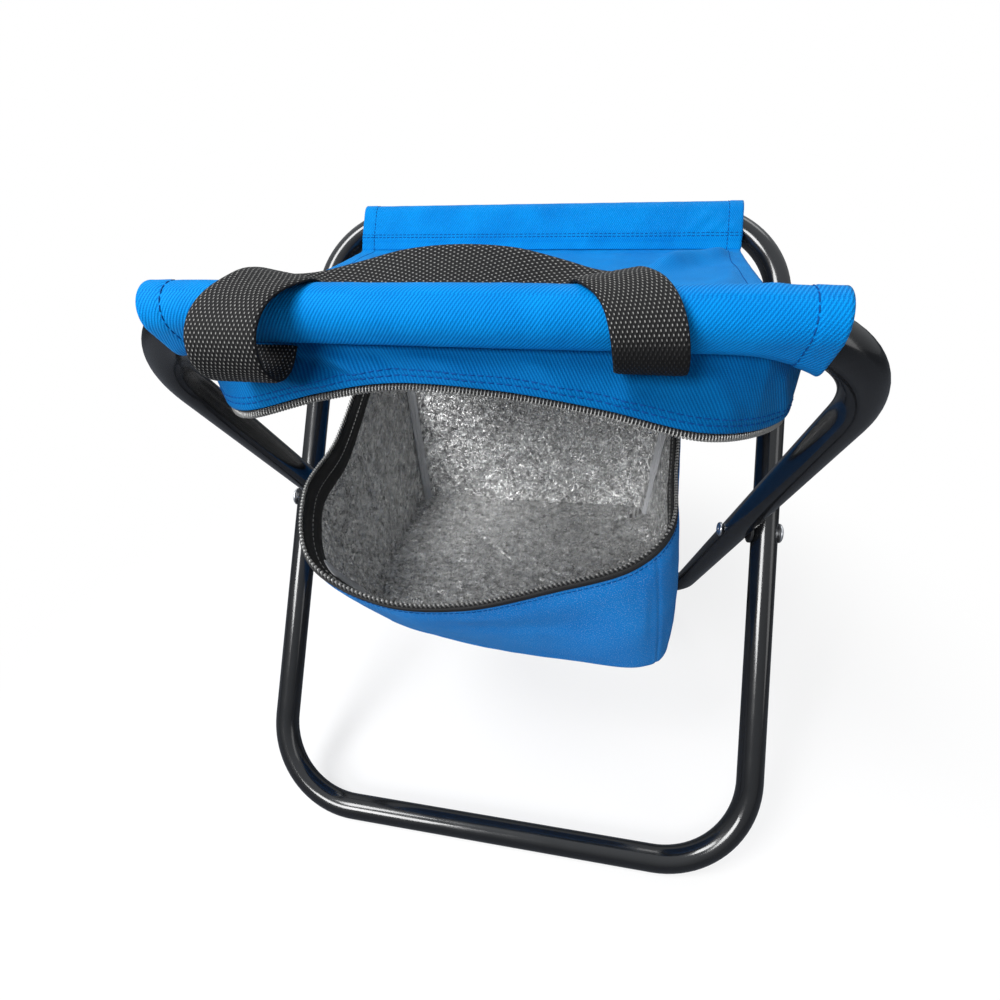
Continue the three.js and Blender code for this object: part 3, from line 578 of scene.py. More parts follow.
# Two colours, roughness and its spread, scale and height of the relief
PAINT = plain_material("black_gloss_paint", (0.0045, 0.005, 0.006), (0.009, 0.0095, 0.011), 0.17, 0.06,
                       700.0, 0.02, coat=0.25)
ZINC = plain_material("zinc_plated_steel", (0.46, 0.47, 0.49), (0.70, 0.71, 0.73), 0.34, 0.1,
                      900.0, 0.02, metal=0.95)
PLASTIC = plain_material("black_moulded_plastic", (0.010, 0.010, 0.011), (0.022, 0.022, 0.024), 0.42, 0.1,
                         1100.0, 0.03)
COIL = plain_material("zip_coil_nylon", (0.13, 0.13, 0.128), (0.36, 0.36, 0.35), 0.28, 0.08,
                      1500.0, 0.02, metal=0.35, coat=0.15, specular=0.6)
WHITE = plain_material("white_foam", (0.72, 0.72, 0.70), (0.88, 0.88, 0.86), 0.85, 0.08, 900.0, 0.12)
THREAD = plain_material("blue_thread", (0.0006, 0.036, 0.17), (0.0014, 0.075, 0.29), 0.6, 0.1,
                        2500.0, 0.05, specular=0.1)
PALE_THREAD = plain_material("grey_thread", (0.20, 0.20, 0.20), (0.42, 0.42, 0.41), 0.55, 0.1, 2500.0, 0.05)

for slot, materials in (("blue_fabric", (BLUE, SHADED_SKIRT_BLUE, BLUE_SHELL, THREAD)),
                        ("black_webbing", (WEBBING, TAPE, PALE_THREAD)), ("grey_tape", (BINDING,)),
                        ("silver_foil", (SILVER,)), ("black_paint", (PAINT,)), ("zinc_steel", (ZINC,)),
                        ("black_plastic", (PLASTIC,)), ("zip_coil", (COIL,)), ("white_foam", (WHITE,))):
    for material in materials:
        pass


# Camera, floor and light

def add_camera():
    yaw, pitch, roll = -0.1937, 0.5886, -0.0349
    ahead = np.array([math.sin(yaw) * math.cos(pitch), math.cos(yaw) * math.cos(pitch), -math.sin(pitch)])
    level = np.array([math.cos(yaw), -math.sin(yaw), 0.0])
    upright = np.cross(level, ahead)
    right = math.cos(roll) * level + math.sin(roll) * upright
    up = math.cos(roll) * upright - math.sin(roll) * level
    data = bpy.data.cameras.new("camera")
    data.sensor_fit = "HORIZONTAL"
    data.sensor_width = 36.0
    data.lens = 19.30
    data.clip_start = 0.01
    camera = bpy.data.objects.new("camera", data)
    camera.matrix_world = axes(right, up, -ahead, np.array([44.40, -301.87, 395.53]) * MM + (0, SHIFT, 0))
    bpy.context.scene.collection.objects.link(camera)
    bpy.context.scene.camera = camera


def axes(x, y, z, origin):
    return Matrix([[x[k], y[k], z[k], origin[k]] for k in range(3)] + [[0, 0, 0, 1]])


def add_light(name, place, aim, size, power):
    data = bpy.data.lights.new(name, "AREA")
    data.shape = "RECTANGLE"
    data.size, data.size_y = size
    data.energy = power
    light = bpy.data.objects.new(name, data)
    light.location = place
    light.rotation_euler = (Vector(aim) - Vector(place)).to_track_quat("-Z", "Y").to_euler()
    bpy.context.scene.collection.objects.link(light)


def by_ray(tree, plain, glossy, seen, output):
    """One surface for the camera, one for reflections and one for other light."""
    path = tree.nodes.new("ShaderNodeLightPath")
    other = node(tree, "ShaderNodeMixShader", {0: path.outputs["Is Glossy Ray"], 1: plain, 2: glossy})
    both = node(tree, "ShaderNodeMixShader", {0: path.outputs["Is Camera Ray"], 1: other, 2: seen})
    tree.links.new(both, tree.nodes.new(output).inputs[0])


def add_floor():
    bpy.ops.mesh.primitive_grid_add(x_subdivisions=2, y_subdivisions=2, size=24)
    floor = bpy.context.object
    floor.name = "studio_floor"
    material = bpy.data.materials.new("studio_floor")
    tree = empty_tree(material)
    seen, bounce, mirror = [node(tree, "ShaderNodeBsdfDiffuse", {"Color": (*colour, 1)}) for colour in
                            ((0.94, 0.94, 0.945), (0.55, 0.55, 0.56), (0.14, 0.15, 0.17))]
    glow = node(tree, "ShaderNodeEmission", {"Color": (1, 1, 1, 1), "Strength": 1.0})
    # The floor's shadow fades into plain white away from the object
    far = vector_node(tree, "LENGTH", {0: node(tree, "ShaderNodeTexCoord", out=3)}, out=1)
    fade = ranged(tree, far, 0.22, 0.5, 0.74, 1.0, "SMOOTHSTEP")
    shown = node(tree, "ShaderNodeMixShader", {0: fade, 1: seen, 2: glow})
    by_ray(tree, bounce, mirror, shown, "ShaderNodeOutputMaterial")
    floor.data.materials.append(material)


def add_world():
    world = bpy.data.worlds.new("studio")
    bpy.context.scene.world = world
    tree = empty_tree(world)
    split = tree.nodes.new("ShaderNodeSeparateXYZ")
    tree.links.new(node(tree, "ShaderNodeTexCoord"), split.inputs[0])
    height = ranged(tree, split.outputs[2], 0.0, 1.0, 0.22, 1.0)
    white, room, fill = [node(tree, "ShaderNodeBackground", {"Color": (*colour, 1), "Strength": strength})
                         for colour, strength in
                         (((1, 1, 1), 1.0), ((0.92, 0.96, 1), height), ((0.95, 0.98, 1), 0.26))]
    by_ray(tree, fill, room, white, "ShaderNodeOutputWorld")


add_camera()
add_floor()
add_world()
add_light("key", (-0.64, -0.52, 1.32), (0, 0, 0.25), (0.5, 0.5), 13.5)
add_light("top_back", (0.35, 0.75, 1.5), (0, 0, 0.25), (1.4, 0.5), 6)
add_light("right_fill", (1.5, -0.6, 0.7), (0, 0, 0.2), (0.5, 1.2), 3)
add_light("front_fill", (-0.6, -1.25, 0.98), (0.04, 0.05, 0.17), (0.6, 0.5), 18)
bpy.context.scene.view_settings.view_transform = "Standard"


# Frame loops, rivets and spacers

def loop_plane(lean):
    up = np.array([0, lean * RUN, RISE]) / LENGTH
    foot = np.array([0, -lean * FLOOR_BAR, TUBE_R])
    return up, foot, np.cross([1, 0, 0], up)


BEND_STEPS = 22
TUBE_SIDES = 40
HALF_JOINT = 0.3


def loop_stations(width, lean):
    """Middles and outward directions round a loop, from its joint at the rail's middle and back to it."""
    up, foot, _ = loop_plane(lean)
    corner = width / 2 - BEND
    places = [(HALF_JOINT, LENGTH, math.pi / 2)]
    for x, w, quarter in ((corner, LENGTH - BEND, 1), (corner, BEND, 0), (-corner, BEND, -1),
                          (-corner, LENGTH - BEND, -2)):
        for k in range(BEND_STEPS + 1):
            a = (quarter - k / BEND_STEPS) * math.pi / 2
            places.append((x + BEND * math.cos(a), w + BEND * math.sin(a), a))
    places.append((-HALF_JOINT, LENGTH, math.pi / 2))
    middles = np.array([[x, *(foot + up * w)[1:]] for x, w, _ in places])
    outs = np.array([np.array([math.cos(a), 0, 0]) + up * math.sin(a) for _, _, a in places])
    return middles, outs


def add_tube(name, node_name, width, lean):
    middles, outs = loop_stations(width, lean)
    face = loop_plane(lean)[2]
    turn = np.arange(TUBE_SIDES) * TAU / TUBE_SIDES
    # Bending flattens the tube a little on the outside of each bend
    bend = [math.sin(math.pi * k / BEND_STEPS) for k in range(BEND_STEPS + 1)]
    flat = 1 - 0.035 * np.array([0.0] + 4 * bend + [0.0])

    def rings(radius):
        out = radius * np.cos(turn)[None, :, None] * outs[:, None] * flat[:, None, None]
        return middles[:, None] + out + radius * np.sin(turn)[None, :, None] * face

    outer = rings(TUBE_R)
    piece = sheet_piece(name, PAINT, [node_name], outer, rings(BORE), weave_grid(outer), wrap=True)
    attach(piece, node_name)


def add_lathe(name, node_name, profile, side, material, sides=48):
    """profile is (radius, x) with x measured from the middle plane outwards."""
    turn = np.arange(sides) * TAU / sides
    r, x = np.array(profile).T[:, :, None]
    rings = stack(side * x, r * np.cos(turn), PIVOT_Z + r * np.sin(turn))
    soup = Soup()
    index = soup.put(rings)
    soup.skin(index, weave_grid(rings), wrap=True)
    soup.face(index[0])
    soup.face(index[-1], flip=True)
    piece = soup.make(name, material)
    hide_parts(node_name)
    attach(piece, "outer_frame")


def arc(r0, x0, r1, x1, count):
    """Quarter-round step of a profile from one point to another."""
    angles = [k / count * math.pi / 2 for k in range(1, count + 1)]
    return [(lerp(r0, r1, 1 - math.cos(a)), lerp(x0, x1, math.sin(a))) for a in angles]


add_tube("outer_loop_tube", "outer_frame", OUTER_W, 1)
add_tube("inner_loop_tube", "inner_frame", INNER_W, -1)
for side, name in ((-1, "left"), (1, "right")):
    outside = OUTER_W / 2 + TUBE_R + GAP
    inside = INNER_W / 2 - TUBE_R - GAP
    tip = inside - 2.2
    rolled = [(0.2, 7.5), (1.2, 7.2), (1.8, 6), (1.8, 1.4), (2.0, 0.6), (2.5, 0.1), (3.2, 0), (3.9, 0.25),
              (4.4, 0.8), (4.6, 1.4)]
    rivet = [(r, tip + x) for r, x in rolled]
    rivet += [(4.55, inside), (3.1, inside), (3.1, outside), (6.1, outside), (6.25, outside + 0.2),
              (6.25, outside + 0.7)]
    rivet += arc(6.25, outside + 0.7, 1.0, outside + 2.35, 8) + [(0.2, outside + 2.4)]
    add_lathe(f"rivet_{name}", f"pivot_rivet_{name}", rivet, side, ZINC)
    middle = (OUTER_W + INNER_W) / 4
    half = LEG_GAP / 2 - GAP
    low, high = middle - half, middle + half
    spacer = [(3.3, low), (7.2, low), (7.5, low + 0.3), (7.5, high - 0.3), (7.2, high), (3.3, high)]
    add_lathe(f"spacer_{name}", f"pivot_spacer_{name}", spacer, side, PLASTIC)


# Sleeves round the top rails

def rail_drop(x):
    """How far the front rail's bends bring its under side down at x."""
    past = np.maximum(0, np.abs(x) - (INNER_W / 2 - BEND))
    level = np.sqrt(np.maximum(BEND ** 2 - past ** 2, 1))
    return BEND - level + TUBE_R * (BEND / level - 1)


def sleeve_slack(lean, x):
    return FRONT_SLACK + rail_drop(x) if lean < 0 else REAR_SLACK + 0 * np.asarray(x)


def hem_line(lean, x):
    up = loop_plane(lean)[0]
    drop = sleeve_slack(lean, x)
    return stack(x, lean * RAIL - up[1] * drop, TOP - up[2] * drop)


def sleeve_section(lean, x, q, gap, pocket):
    """Point round a sleeve at x; q from 0 to 1 starts at the rail's top, first down towards the seat."""
    up = loop_plane(lean)[0]
    side = np.array([0, -lean * RISE, RUN]) / LENGTH
    drop = sleeve_slack(lean, x)
    r = SLEEVE_R + gap
    # Shares of the turn: quarter, straight, half round the hem, straight, quarter
    quarter = r * math.pi / 2
    s = (q % 1) * (4 * quarter + 2 * drop)
    a1 = np.clip(s / quarter, 0, 1) * math.pi / 2
    d1 = np.clip(s - quarter, 0, drop)
    a2 = np.clip((s - quarter - drop) / (2 * quarter), 0, 1) * math.pi
    d2 = np.clip(s - 3 * quarter - drop, 0, drop)
    a3 = np.clip((s - 3 * quarter - 2 * drop) / quarter, 0, 1) * math.pi / 2
    angle = a1 + a2 + a3
    a = r * np.cos(angle) - d1 + d2
    b = r * np.sin(angle)
    if pocket:
        # The pocket's far layer comes forward to the sewn line below the rail
        below = soft(0, drop + r, -a)
        b = np.where(b < r - 1.8, lerp(b, r - 1.8 + 0.9 * b / r, below), b)
    rail = stack(x, lean * RAIL, TOP)
    return rail + a[..., None] * up + b[..., None] * side, a, b


SLEEVE_COLUMNS = 150
SLEEVE_TURNS = 96
SLEEVE_HEM = 8.8
SEWN_LINES = (-18.6, -16.2)


def add_sleeve(name, node_name, body, lean, half, folds, pocket):
    # Rings close together at the hems
    share = np.linspace(-1, 1, SLEEVE_COLUMNS)
    x = half * (share + 0.06 * np.sin(math.pi * share) * share ** 2)
    xs, qs = crossed(x, np.arange(SLEEVE_TURNS) / SLEEVE_TURNS)
    outer, a, b = sleeve_section(lean, xs, qs, 0.0, pocket)
    inner, _, _ = sleeve_section(lean, xs, qs, -SLEEVE_FABRIC, pocket)
    normal = outward_normals(outer)
    # Cloth stands off by its folds; hems are two layers thick
    edge = half - np.abs(xs)
    relief = ridges(folds, xs, a)
    relief = np.where(b > 0, relief, 0.3 * relief)
    relief = relief * soft(0, 5, edge) + 0.12 * grain(outer, 9.0, 3.0)
    relief += 0.32 * soft(9.2, 8.4, edge) - 0.22 * bell(edge - SLEEVE_HEM, 0.55)
    outer = outer + normal * relief[..., None]
    if pocket:
        # Two sewn lines close the pocket below the rail
        for line in SEWN_LINES:
            outer = outer - normal * (0.3 * bell(a - line, 0.55) * (b > 0))[..., None]
    weave = weave_grid(outer)
    weave = stack(weave[..., 1], -weave[..., 0])
    piece = sheet_piece(name, BLUE, [node_name], outer, inner, weave, wrap=True)
    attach(piece, body)

    lines = []
    for side in (-1, 1):
        column = int(np.argmin(np.abs(x - side * (half - SLEEVE_HEM))))
        lines.append([np.concatenate([grid[column], grid[column][:1]]) for grid in (outer, normal)])
    if pocket:
        columns = np.arange(SLEEVE_COLUMNS)
        for line in SEWN_LINES:
            row = [int(np.argmin(np.abs(a[k] - line) + 50 * (b[k] < 0))) for k in columns]
            lines.append([outer[columns, row], normal[columns, row]])
    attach(stitched(name + "_stitches", THREAD, lines), body)
    return piece


# Folds of the sleeves: position along the rail, height over it
FRONT_FOLDS = [(-108, 4, -70, 9, 5, 0.5), (70, 9, 108, 3, 5, 0.5), (-20, 8, 40, 2, 6, 0.25),
               (88, -3, 96, 9, 3, 0.4)]
REAR_FOLDS = [(96, -16, 112, -2, 3.2, 0.9), (108, -18, 122, -6, 2.6, 0.8), (118, -17, 131, -9, 2.4, 0.6),
              (-120, -16, -108, -6, 3, 0.5), (20, -12, 70, 2, 7, 0.35), (-60, -14, -20, -4, 8, 0.3),
              (60, -17, 64, -12, 2.2, 0.4), (34, -17, 37, -12, 2, 0.3), (84, -17, 86, -11, 2, 0.4)]
for name, body, lean, half, folds, girth in (
        ("front_sleeve", "inner_frame", -1, FRONT_HALF, FRONT_FOLDS, 0.070),
        ("rear_sleeve", "outer_frame", 1, REAR_HALF, REAR_FOLDS, 0.089)):
    piece = add_sleeve(name + "_cloth", name, body, lean, half, folds, pocket=lean > 0)


# Seat and lid

def seat_point(across, back, depth):
    """Point of the seat at shares of its half width and of its length; depth lies below its upper face."""
    half = lerp(FRONT_HALF, REAR_HALF, back)
    reach = SLEEVE_R + GAP + FABRIC
    front = hem_line(-1, across * FRONT_HALF) + np.array([0, reach, 0])
    rear = hem_line(1, np.zeros(())) + loop_plane(1)[0] * 2
    rear_z = TOP - SEAT_DROP
    rear_y = rear[1] - reach * math.cos(math.asin((rear[2] - rear_z) / reach))
    sag = lerp(8.0, 2.0, across ** 2) * 4 * back * (1 - back)
    y = lerp(front[..., 1], rear_y, back)
    z = lerp(front[..., 2], rear_z, back) - sag - depth + 1.4 * soft(0.95, 1, back)
    return stack(across * half, y, z)


SEAT_FRONT_Y = float(seat_point(np.zeros(()), np.zeros(()), 0)[1])
SEAT_REAR_Y = float(seat_point(np.zeros(()), np.ones(()), 0)[1])


def seat_height(x, y, depth):
    back = np.clip((y - SEAT_FRONT_Y) / (SEAT_REAR_Y - SEAT_FRONT_Y), 0, 1)
    across = np.clip(x / lerp(FRONT_HALF, REAR_HALF, back), -1, 1)
    return seat_point(across, back, depth)[..., 2]


# Folds of the seat: x and y
SEAT_FOLDS = [(34, -38, 96, 66, 8, 5.0), (70, 24, 122, 92, 9, 6.0), (96, -40, 124, 60, 6, 2.0),
              (-60, -70, -124, 96, 9, 2.6), (108, 66, 128, 98, 4, 1.6), (-30, 96, -24, 60, 6, 0.9),
              (10, 98, 14, 58, 5, 0.8), (54, 98, 46, 66, 5, 0.8), (-78, 98, -72, 70, 5, 0.8),
              (0, -60, 12, 40, 16, -1.0), (60, 10, 110, 60, 7, -2.4)]


def seat_relief(x, y):
    edge = soft(SEAT_FRONT_Y, SEAT_FRONT_Y + 26, y) * soft(SEAT_REAR_Y + 1, SEAT_REAR_Y - 9, y)
    return ridges(SEAT_FOLDS, x, y) * edge


SEAT_HEM = 8.2
LID_FRONT = 0.06
LID_REAR = 0.94
LID_REACH = (SKIRT_HALF - 4) / REAR_HALF
FOAM_INSET = 3.0 / REAR_HALF


def lid_grid(across, back, depth):
    """A layer of the lid at a depth, with the shares across and back of its points."""
    a, b = crossed(across, back)
    points = seat_point(a, b, depth)
    points[..., 2] += seat_relief(points[..., 0], points[..., 1]) * soft(1.0, 0.88, np.abs(a))
    return points, a, b


def lid_piece(name, material, node_name, top, under, flat):
    return sheet_piece(name, material, [node_name], top, under, flat[..., :2])


def add_seat():
    across = np.linspace(-1, 1, 140)
    back = np.linspace(0, 1, 120)
    top, a, b = lid_grid(across, back, 0.0)
    under = lid_grid(across, back, FABRIC)[0]
    edge = lerp(FRONT_HALF, REAR_HALF, b) * (1 - np.abs(a))
    hem = 0.4 * soft(8.6, 7.8, edge) - 0.25 * bell(edge - SEAT_HEM, 0.6)
    top[..., 2] += hem + 0.16 * grain(top, 14.0, 1.0)
    seat = lid_piece("seat_cloth", BLUE, "seat_panel", top, under, top)

    lines = []
    for side in (-1, 1):
        column = int(np.argmin(np.abs(edge[:, 60] - SEAT_HEM) + 1e3 * (a[:, 60] * side < 0)))
        lines.append((top[column], np.broadcast_to([0, 0, 1.0], top[column].shape)))
    return [seat, stitched("seat_stitches", THREAD, lines)]


def add_lid():
    sides = np.linspace(FOAM_INSET - LID_REACH, LID_REACH - FOAM_INSET, 90)
    backs = np.linspace(LID_FRONT + FOAM_INSET / 2, LID_REAR - FOAM_INSET / 2, 90)
    depth = FABRIC + GAP
    top = lid_grid(sides, backs, depth)[0]
    foam = lid_piece("lid_foam_sheet", WHITE, "lid_foam", top, lid_grid(sides, backs, depth + FOAM)[0], top)

    sides = np.linspace(-LID_REACH, LID_REACH, 190)
    backs = np.linspace(LID_FRONT, LID_REAR, 190)
    depth += FOAM + GAP
    top = lid_grid(sides, backs, depth)[0]
    under, a, b = lid_grid(sides, backs, depth + FOIL)
    rough = 0.35 * grain(under, 4.5, 5.0) + 0.7 * grain(under, 15.0, 2.0)
    fade = soft(0, 0.05, 1 - np.abs(a) / LID_REACH)
    fade = fade * soft(0, 0.04, b - LID_FRONT) * soft(0, 0.04, LID_REAR - b)
    under[..., 2] -= np.maximum(0.5 + rough, 0) * fade
    # The film closes round the foam's edges, up to the seat
    ends = 2 * REAR_HALF * np.minimum(b - LID_FRONT, LID_REAR - b)
    margin = np.minimum(REAR_HALF * (LID_REACH - np.abs(a)), ends)
    wrap = (FOAM + GAP) * soft(2.4, 0.0, margin)
    top[..., 2] += wrap
    under[..., 2] += wrap
    return [foam, lid_piece("lid_film", SILVER, "lid_lining", top, under, under)]


fold_pieces = add_seat() + add_lid()


# Skirt and the upper half of the zip

FRONT_ZIP = -RAIL - ZIP_REACH
# Front of the zip line: share of the skirt's half width, share of its rise
ZIP_SHARES = [(-0.9, 0.06), (-0.72, 0.31), (-0.46, 0.74), (-0.22, 1), (0.11, 0.93), (0.41, 0.66),
              (0.69, 0.32), (0.9, 0.06)]


def zip_side(side):
    return [(side * SKIRT_HALF, y, ZIP_Z) for y in
            (SKIRT_REAR, (SKIRT_REAR - STRAIGHT_END) / 2, -STRAIGHT_END, -CORNER_BACK)]


ZIP_POINTS = zip_side(-1)
for x, rise in ZIP_SHARES:
    corner = abs(x) == ZIP_SHARES[-1][0]
    y = (FRONT_ZIP - CORNER_BACK) / 2 if corner else FRONT_ZIP
    ZIP_POINTS.append((x * SKIRT_HALF, y, ZIP_Z + rise * ZIP_RISE))
ZIP_POINTS += zip_side(1)[::-1]
ZIP = Spline(ZIP_POINTS, False)
SPANS = ZIP.spans
TAPE_FOOT = CHAIN_H / 2 + GAP
HEM_RISE = CHAIN_H / 2 + TAPE_SHOWN


def sewn_point(s):
    edge = ZIP.at(s)
    hem = hem_line(-1, edge[..., 0])
    y = np.maximum(edge[..., 1], hem[..., 1])
    past = np.maximum(0, y - hem[..., 1] - SLEEVE_R - GAP)
    from_sleeve = hem[..., 2] - SLEEVE_R + past
    under_seat = seat_height(edge[..., 0], y, FABRIC)
    return stack(edge[..., 0], y, np.minimum(from_sleeve, under_seat) - 2 * GAP)


def zip_height(s):
    return np.linalg.norm(sewn_point(s) - ZIP.at(s), axis=-1)


# Folds of the skirt: position along the zip (in the zip's marks), share of the height
SKIRT_FOLDS = [(4.7, 1.0, 6.35, 0.10, 0.15, 2.6), (5.3, 1.0, 6.5, 0.30, 0.10, -1.6),
               (5.9, 1.05, 6.75, 0.25, 0.13, 1.9), (6.6, 1.0, 7.2, 0.2, 0.10, -1.3),
               (7.1, 1.0, 7.9, 0.2, 0.16, 1.3), (8.2, 0.95, 8.7, 0.15, 0.13, 1.2),
               (9.1, 0.15, 9.5, 0.9, 0.12, 1.2), (9.9, 0.9, 10.4, 0.2, 0.13, 1.1),
               (10.9, 0.9, 11.5, 0.2, 0.14, 1.2), (3.4, 0.9, 3.9, 0.2, 0.14, 0.9),
               (1.2, 0.9, 1.8, 0.3, 0.12, 0.9), (2.2, 0.9, 2.5, 0.2, 0.12, 0.9),
               (12.4, 0.9, 12.9, 0.2, 0.12, 0.9), (13.6, 0.9, 14.0, 0.2, 0.12, 0.8)]
SKIRT_STITCHES = (4.9, 7.1)
# Depth of the tape behind the skirt's middle face
TAPE_BACK = FABRIC / 2 + GAP + TAPE_T / 2


def skirt_point(mark, t, depth):
    """Point at a share t of the way from the zip line to the sewn line; depth stands out."""
    s = mark / SPANS
    relief = ridges(SKIRT_FOLDS, mark, t) * soft(0.02, 0.3, t) * soft(1.0, 0.72, t)
    return lerp(ZIP.at(s), sewn_point(s), t[..., None]) + ZIP.outward(s) * (depth + relief)[..., None]


def add_skirt(name, first, last):
    marks = np.linspace(first, last, int((last - first) * 26) + 2)
    m, w = crossed(marks, np.linspace(0, 1, 46))
    span = zip_height(m / SPANS)
    # Its top edge ends inside the seam, in the cloth of the sleeve and the seat
    t = lerp(HEM_RISE / span, 1 + 1.1 / span, w)
    rise = t * span
    half = FABRIC / 2
    groove = 0.28 * (bell(rise - SKIRT_STITCHES[0], 0.5) + bell(rise - SKIRT_STITCHES[1], 0.5))
    plump = 0.25 * soft(8.2, 7.4, rise) * soft(HEM_RISE, HEM_RISE + 0.9, rise)
    rough = 0.1 * grain(skirt_point(m, t, 0), 8.0, 7.0)
    outer = skirt_point(m, t, half + plump - groove + rough)
    inner = skirt_point(m, t, -half)
    length = lengths(ZIP.at(marks / SPANS))
    cloth = sheet_piece(name + "_cloth", SHADED_SKIRT_BLUE, [name], outer, inner, stack(length[:, None], rise))
    lines = []
    for line in SKIRT_STITCHES:
        path = skirt_point(marks, line / zip_height(marks / SPANS), half + 0.02)
        lines.append((path, ZIP.outward(marks / SPANS)))
    return [cloth, stitched(name + "_cloth_stitches", THREAD, lines)]


for name, first, last in (("left_skirt", 0.0, 3.41), ("front_skirt", 3.42, 11.58),
                          ("right_skirt", 11.59, float(SPANS))):
    fold_pieces += add_skirt(name, first, last)

TOOTH, TOOTH_FACES = barrel([(-1.3, 0, 0.22, 0.55), (-0.9, 0, 0.27, 0.95), (0.1, 0, 0.28, 1.05),
                             (0.8, 0, 0.36, 1.1), (1.15, 0, 0.33, 0.9), (1.32, 0, 0.18, 0.4)], 8)


def add_teeth(name, node_name, path, across, facing, pitch=TEETH_PITCH, broad=1.0, lean=0.0):
    """A tooth every pitch on a thin core. across points from the tape to the free edge."""
    soup = Soup()
    origin, run, free = along(path, pitch, across)
    tooth = [(x, broad * y + lean * x, z) for x, y, z in TOOTH]
    instances(soup, tooth, TOOTH_FACES, origin, free, run, np.cross(free, run))
    teeth = soup.make(name, COIL)
    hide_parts(node_name)
    soup = Soup()
    core = ((-1.25, -0.45), (-1.25, 0.45), (0.35, 0.45), (0.35, -0.45))
    index = soup.put(np.stack([path + across * a + facing * b for a, b in core], 1))
    soup.skin(index, wrap=True)
    soup.face(index[0])
    soup.face(index[-1], flip=True)
    return [teeth, soup.make(name + "_cord", TAPE)]


def add_upper_zip():
    marks = np.linspace(0, SPANS, 620)
    s = marks / SPANS
    m, r = crossed(marks, np.linspace(TAPE_FOOT - 0.1, TAPE_FOOT + TAPE_W, 16))
    t = r / zip_height(m / SPANS)
    near = skirt_point(m, t, -TAPE_BACK + TAPE_T / 2)
    far = skirt_point(m, t, -TAPE_BACK - TAPE_T / 2)
    length = lengths(ZIP.at(s))
    tape = sheet_piece("upper_zip_tape", TAPE, ["zip_tape_upper"], near, far, stack(length[:, None], r))
    facing = ZIP.outward(s)
    path = ZIP.at(s) - facing * TAPE_BACK
    down = -unit(sewn_point(s) - ZIP.at(s))
    return [tape] + add_teeth("upper_zip_teeth", "zip_chain_upper", path, down, facing)


fold_pieces += add_upper_zip()


# Bag

# Shares round the bag: x, y of its floor's edge, then x, y, height of its rim
WALL = np.array([
    [-1, 0.83, -0.898, 0.787, 0.865], [-1, 0.29, -0.936, 0.457, 0.69], [-0.98, -0.19, -0.975, 0, 0.502],
    [-0.92, -0.57, -0.945, -0.457, 0.472], [-0.77, -0.79, -0.79, -0.79, 0.392],
    [-0.37, -0.91, -0.468, -0.89, 0.332], [0.02, -0.98, -0.136, -0.843, 0.314],
    [0.46, -1.01, 0.226, -0.748, 0.358], [0.86, -1, 0.543, -0.654, 0.415],
    [0.99, -0.86, 0.679, -0.535, 0.472], [1, -0.31, 0.74, -0.079, 0.511], [1, 0.29, 0.785, 0.394, 0.64],
    [1, 0.83, 0.883, 0.787, 0.865], [0.88, 1, 0.785, 0.862, 1], [0, 1.02, 0, 0.87, 1],
    [-0.88, 1, -0.785, 0.862, 1]])
MARKS = len(WALL)
CORNERS = {"rear_left": -0.5, "front_left": 4.0, "front_right": 8.5, "rear_right": 12.5}
FLOOR_X, FLOOR_Y, RIM_X, RIM_Y, RIM_HEIGHT = WALL.T
FLOOR_EDGE = Spline(stack(FLOOR_X * BAG_HALF - BAG_LEFT, BAG_BACK + FLOOR_Y * BAG_DEPTH, BAG_Z), True)
RIM_EDGE = Spline(stack(RIM_X * CLEAR_HALF, RIM_Y * RAIL, BAG_Z + RIM_HEIGHT * (BAG_TOP - BAG_Z)), True)
FOAM_DEPTH = FABRIC + GAP
FOIL_DEPTH = FOAM_DEPTH + FOAM + GAP
WALL_DEPTH = FOIL_DEPTH + FOIL + GAP
# Marks between which the zip runs round the rim
ZIP_END = 12.0


def rim_point(s):
    point = RIM_EDGE.at(s)
    point[..., 2] = np.minimum(point[..., 2], BAG_TOP)
    return point


def wall_height(s):
    return rim_point(s)[..., 2] - BAG_Z


# Folds of the bag's walls: marks round the bag, share of the wall's height
BAG_FOLDS = [(4.4, 0.15, 5.6, 0.75, 0.22, 1.6), (5.6, 0.7, 7.4, 0.55, 0.10, -1.0),
             (7.0, 0.2, 8.1, 0.5, 0.25, 1.4), (8.2, 0.9, 8.0, 0.35, 0.14, 0.8),
             (9.0, 0.15, 9.6, 0.7, 0.2, 1.2), (10.4, 0.7, 11.6, 0.35, 0.12, -1.2),
             (10.2, 0.3, 11.4, 0.15, 0.12, 1.2), (2.2, 0.3, 3.2, 0.7, 0.2, 1.3),
             (0.4, 0.5, 1.8, 0.3, 0.14, -1.2), (1.0, 0.8, 2.2, 0.5, 0.12, 1.0),
             (13.2, 0.2, 13.8, 0.8, 0.2, 1.4), (14.4, 0.8, 15.0, 0.3, 0.2, -1.3)]


def mark_length(corner):
    """Millimetres along the floor's edge for one mark, near a corner."""
    q = 0.25
    return np.linalg.norm(FLOOR_EDGE.at((corner + q) / MARKS) - FLOOR_EDGE.at((corner - q) / MARKS)) / (2 * q)


def seam_near(mark, width):
    """1 at the upright corner seams, falling to 0 within a width along the floor."""
    total = np.zeros(np.shape(mark))
    for corner in CORNERS.values():
        off = ((mark - corner + MARKS / 2) % MARKS - MARKS / 2) * mark_length(corner)
        total = total + bell(off, width)
    return total


# The padded wall is sewn thin at its rim: depth that stays, share of its thickness there, reach below
PINCH_DEPTH = 2.6
PINCH_SHARE = 0.36
PINCH_REACH = 14


def pinched(depth, below):
    """A layer's depth at a distance below the rim."""
    return PINCH_DEPTH + (depth - PINCH_DEPTH) * lerp(PINCH_SHARE, 1, soft(0, PINCH_REACH, below))


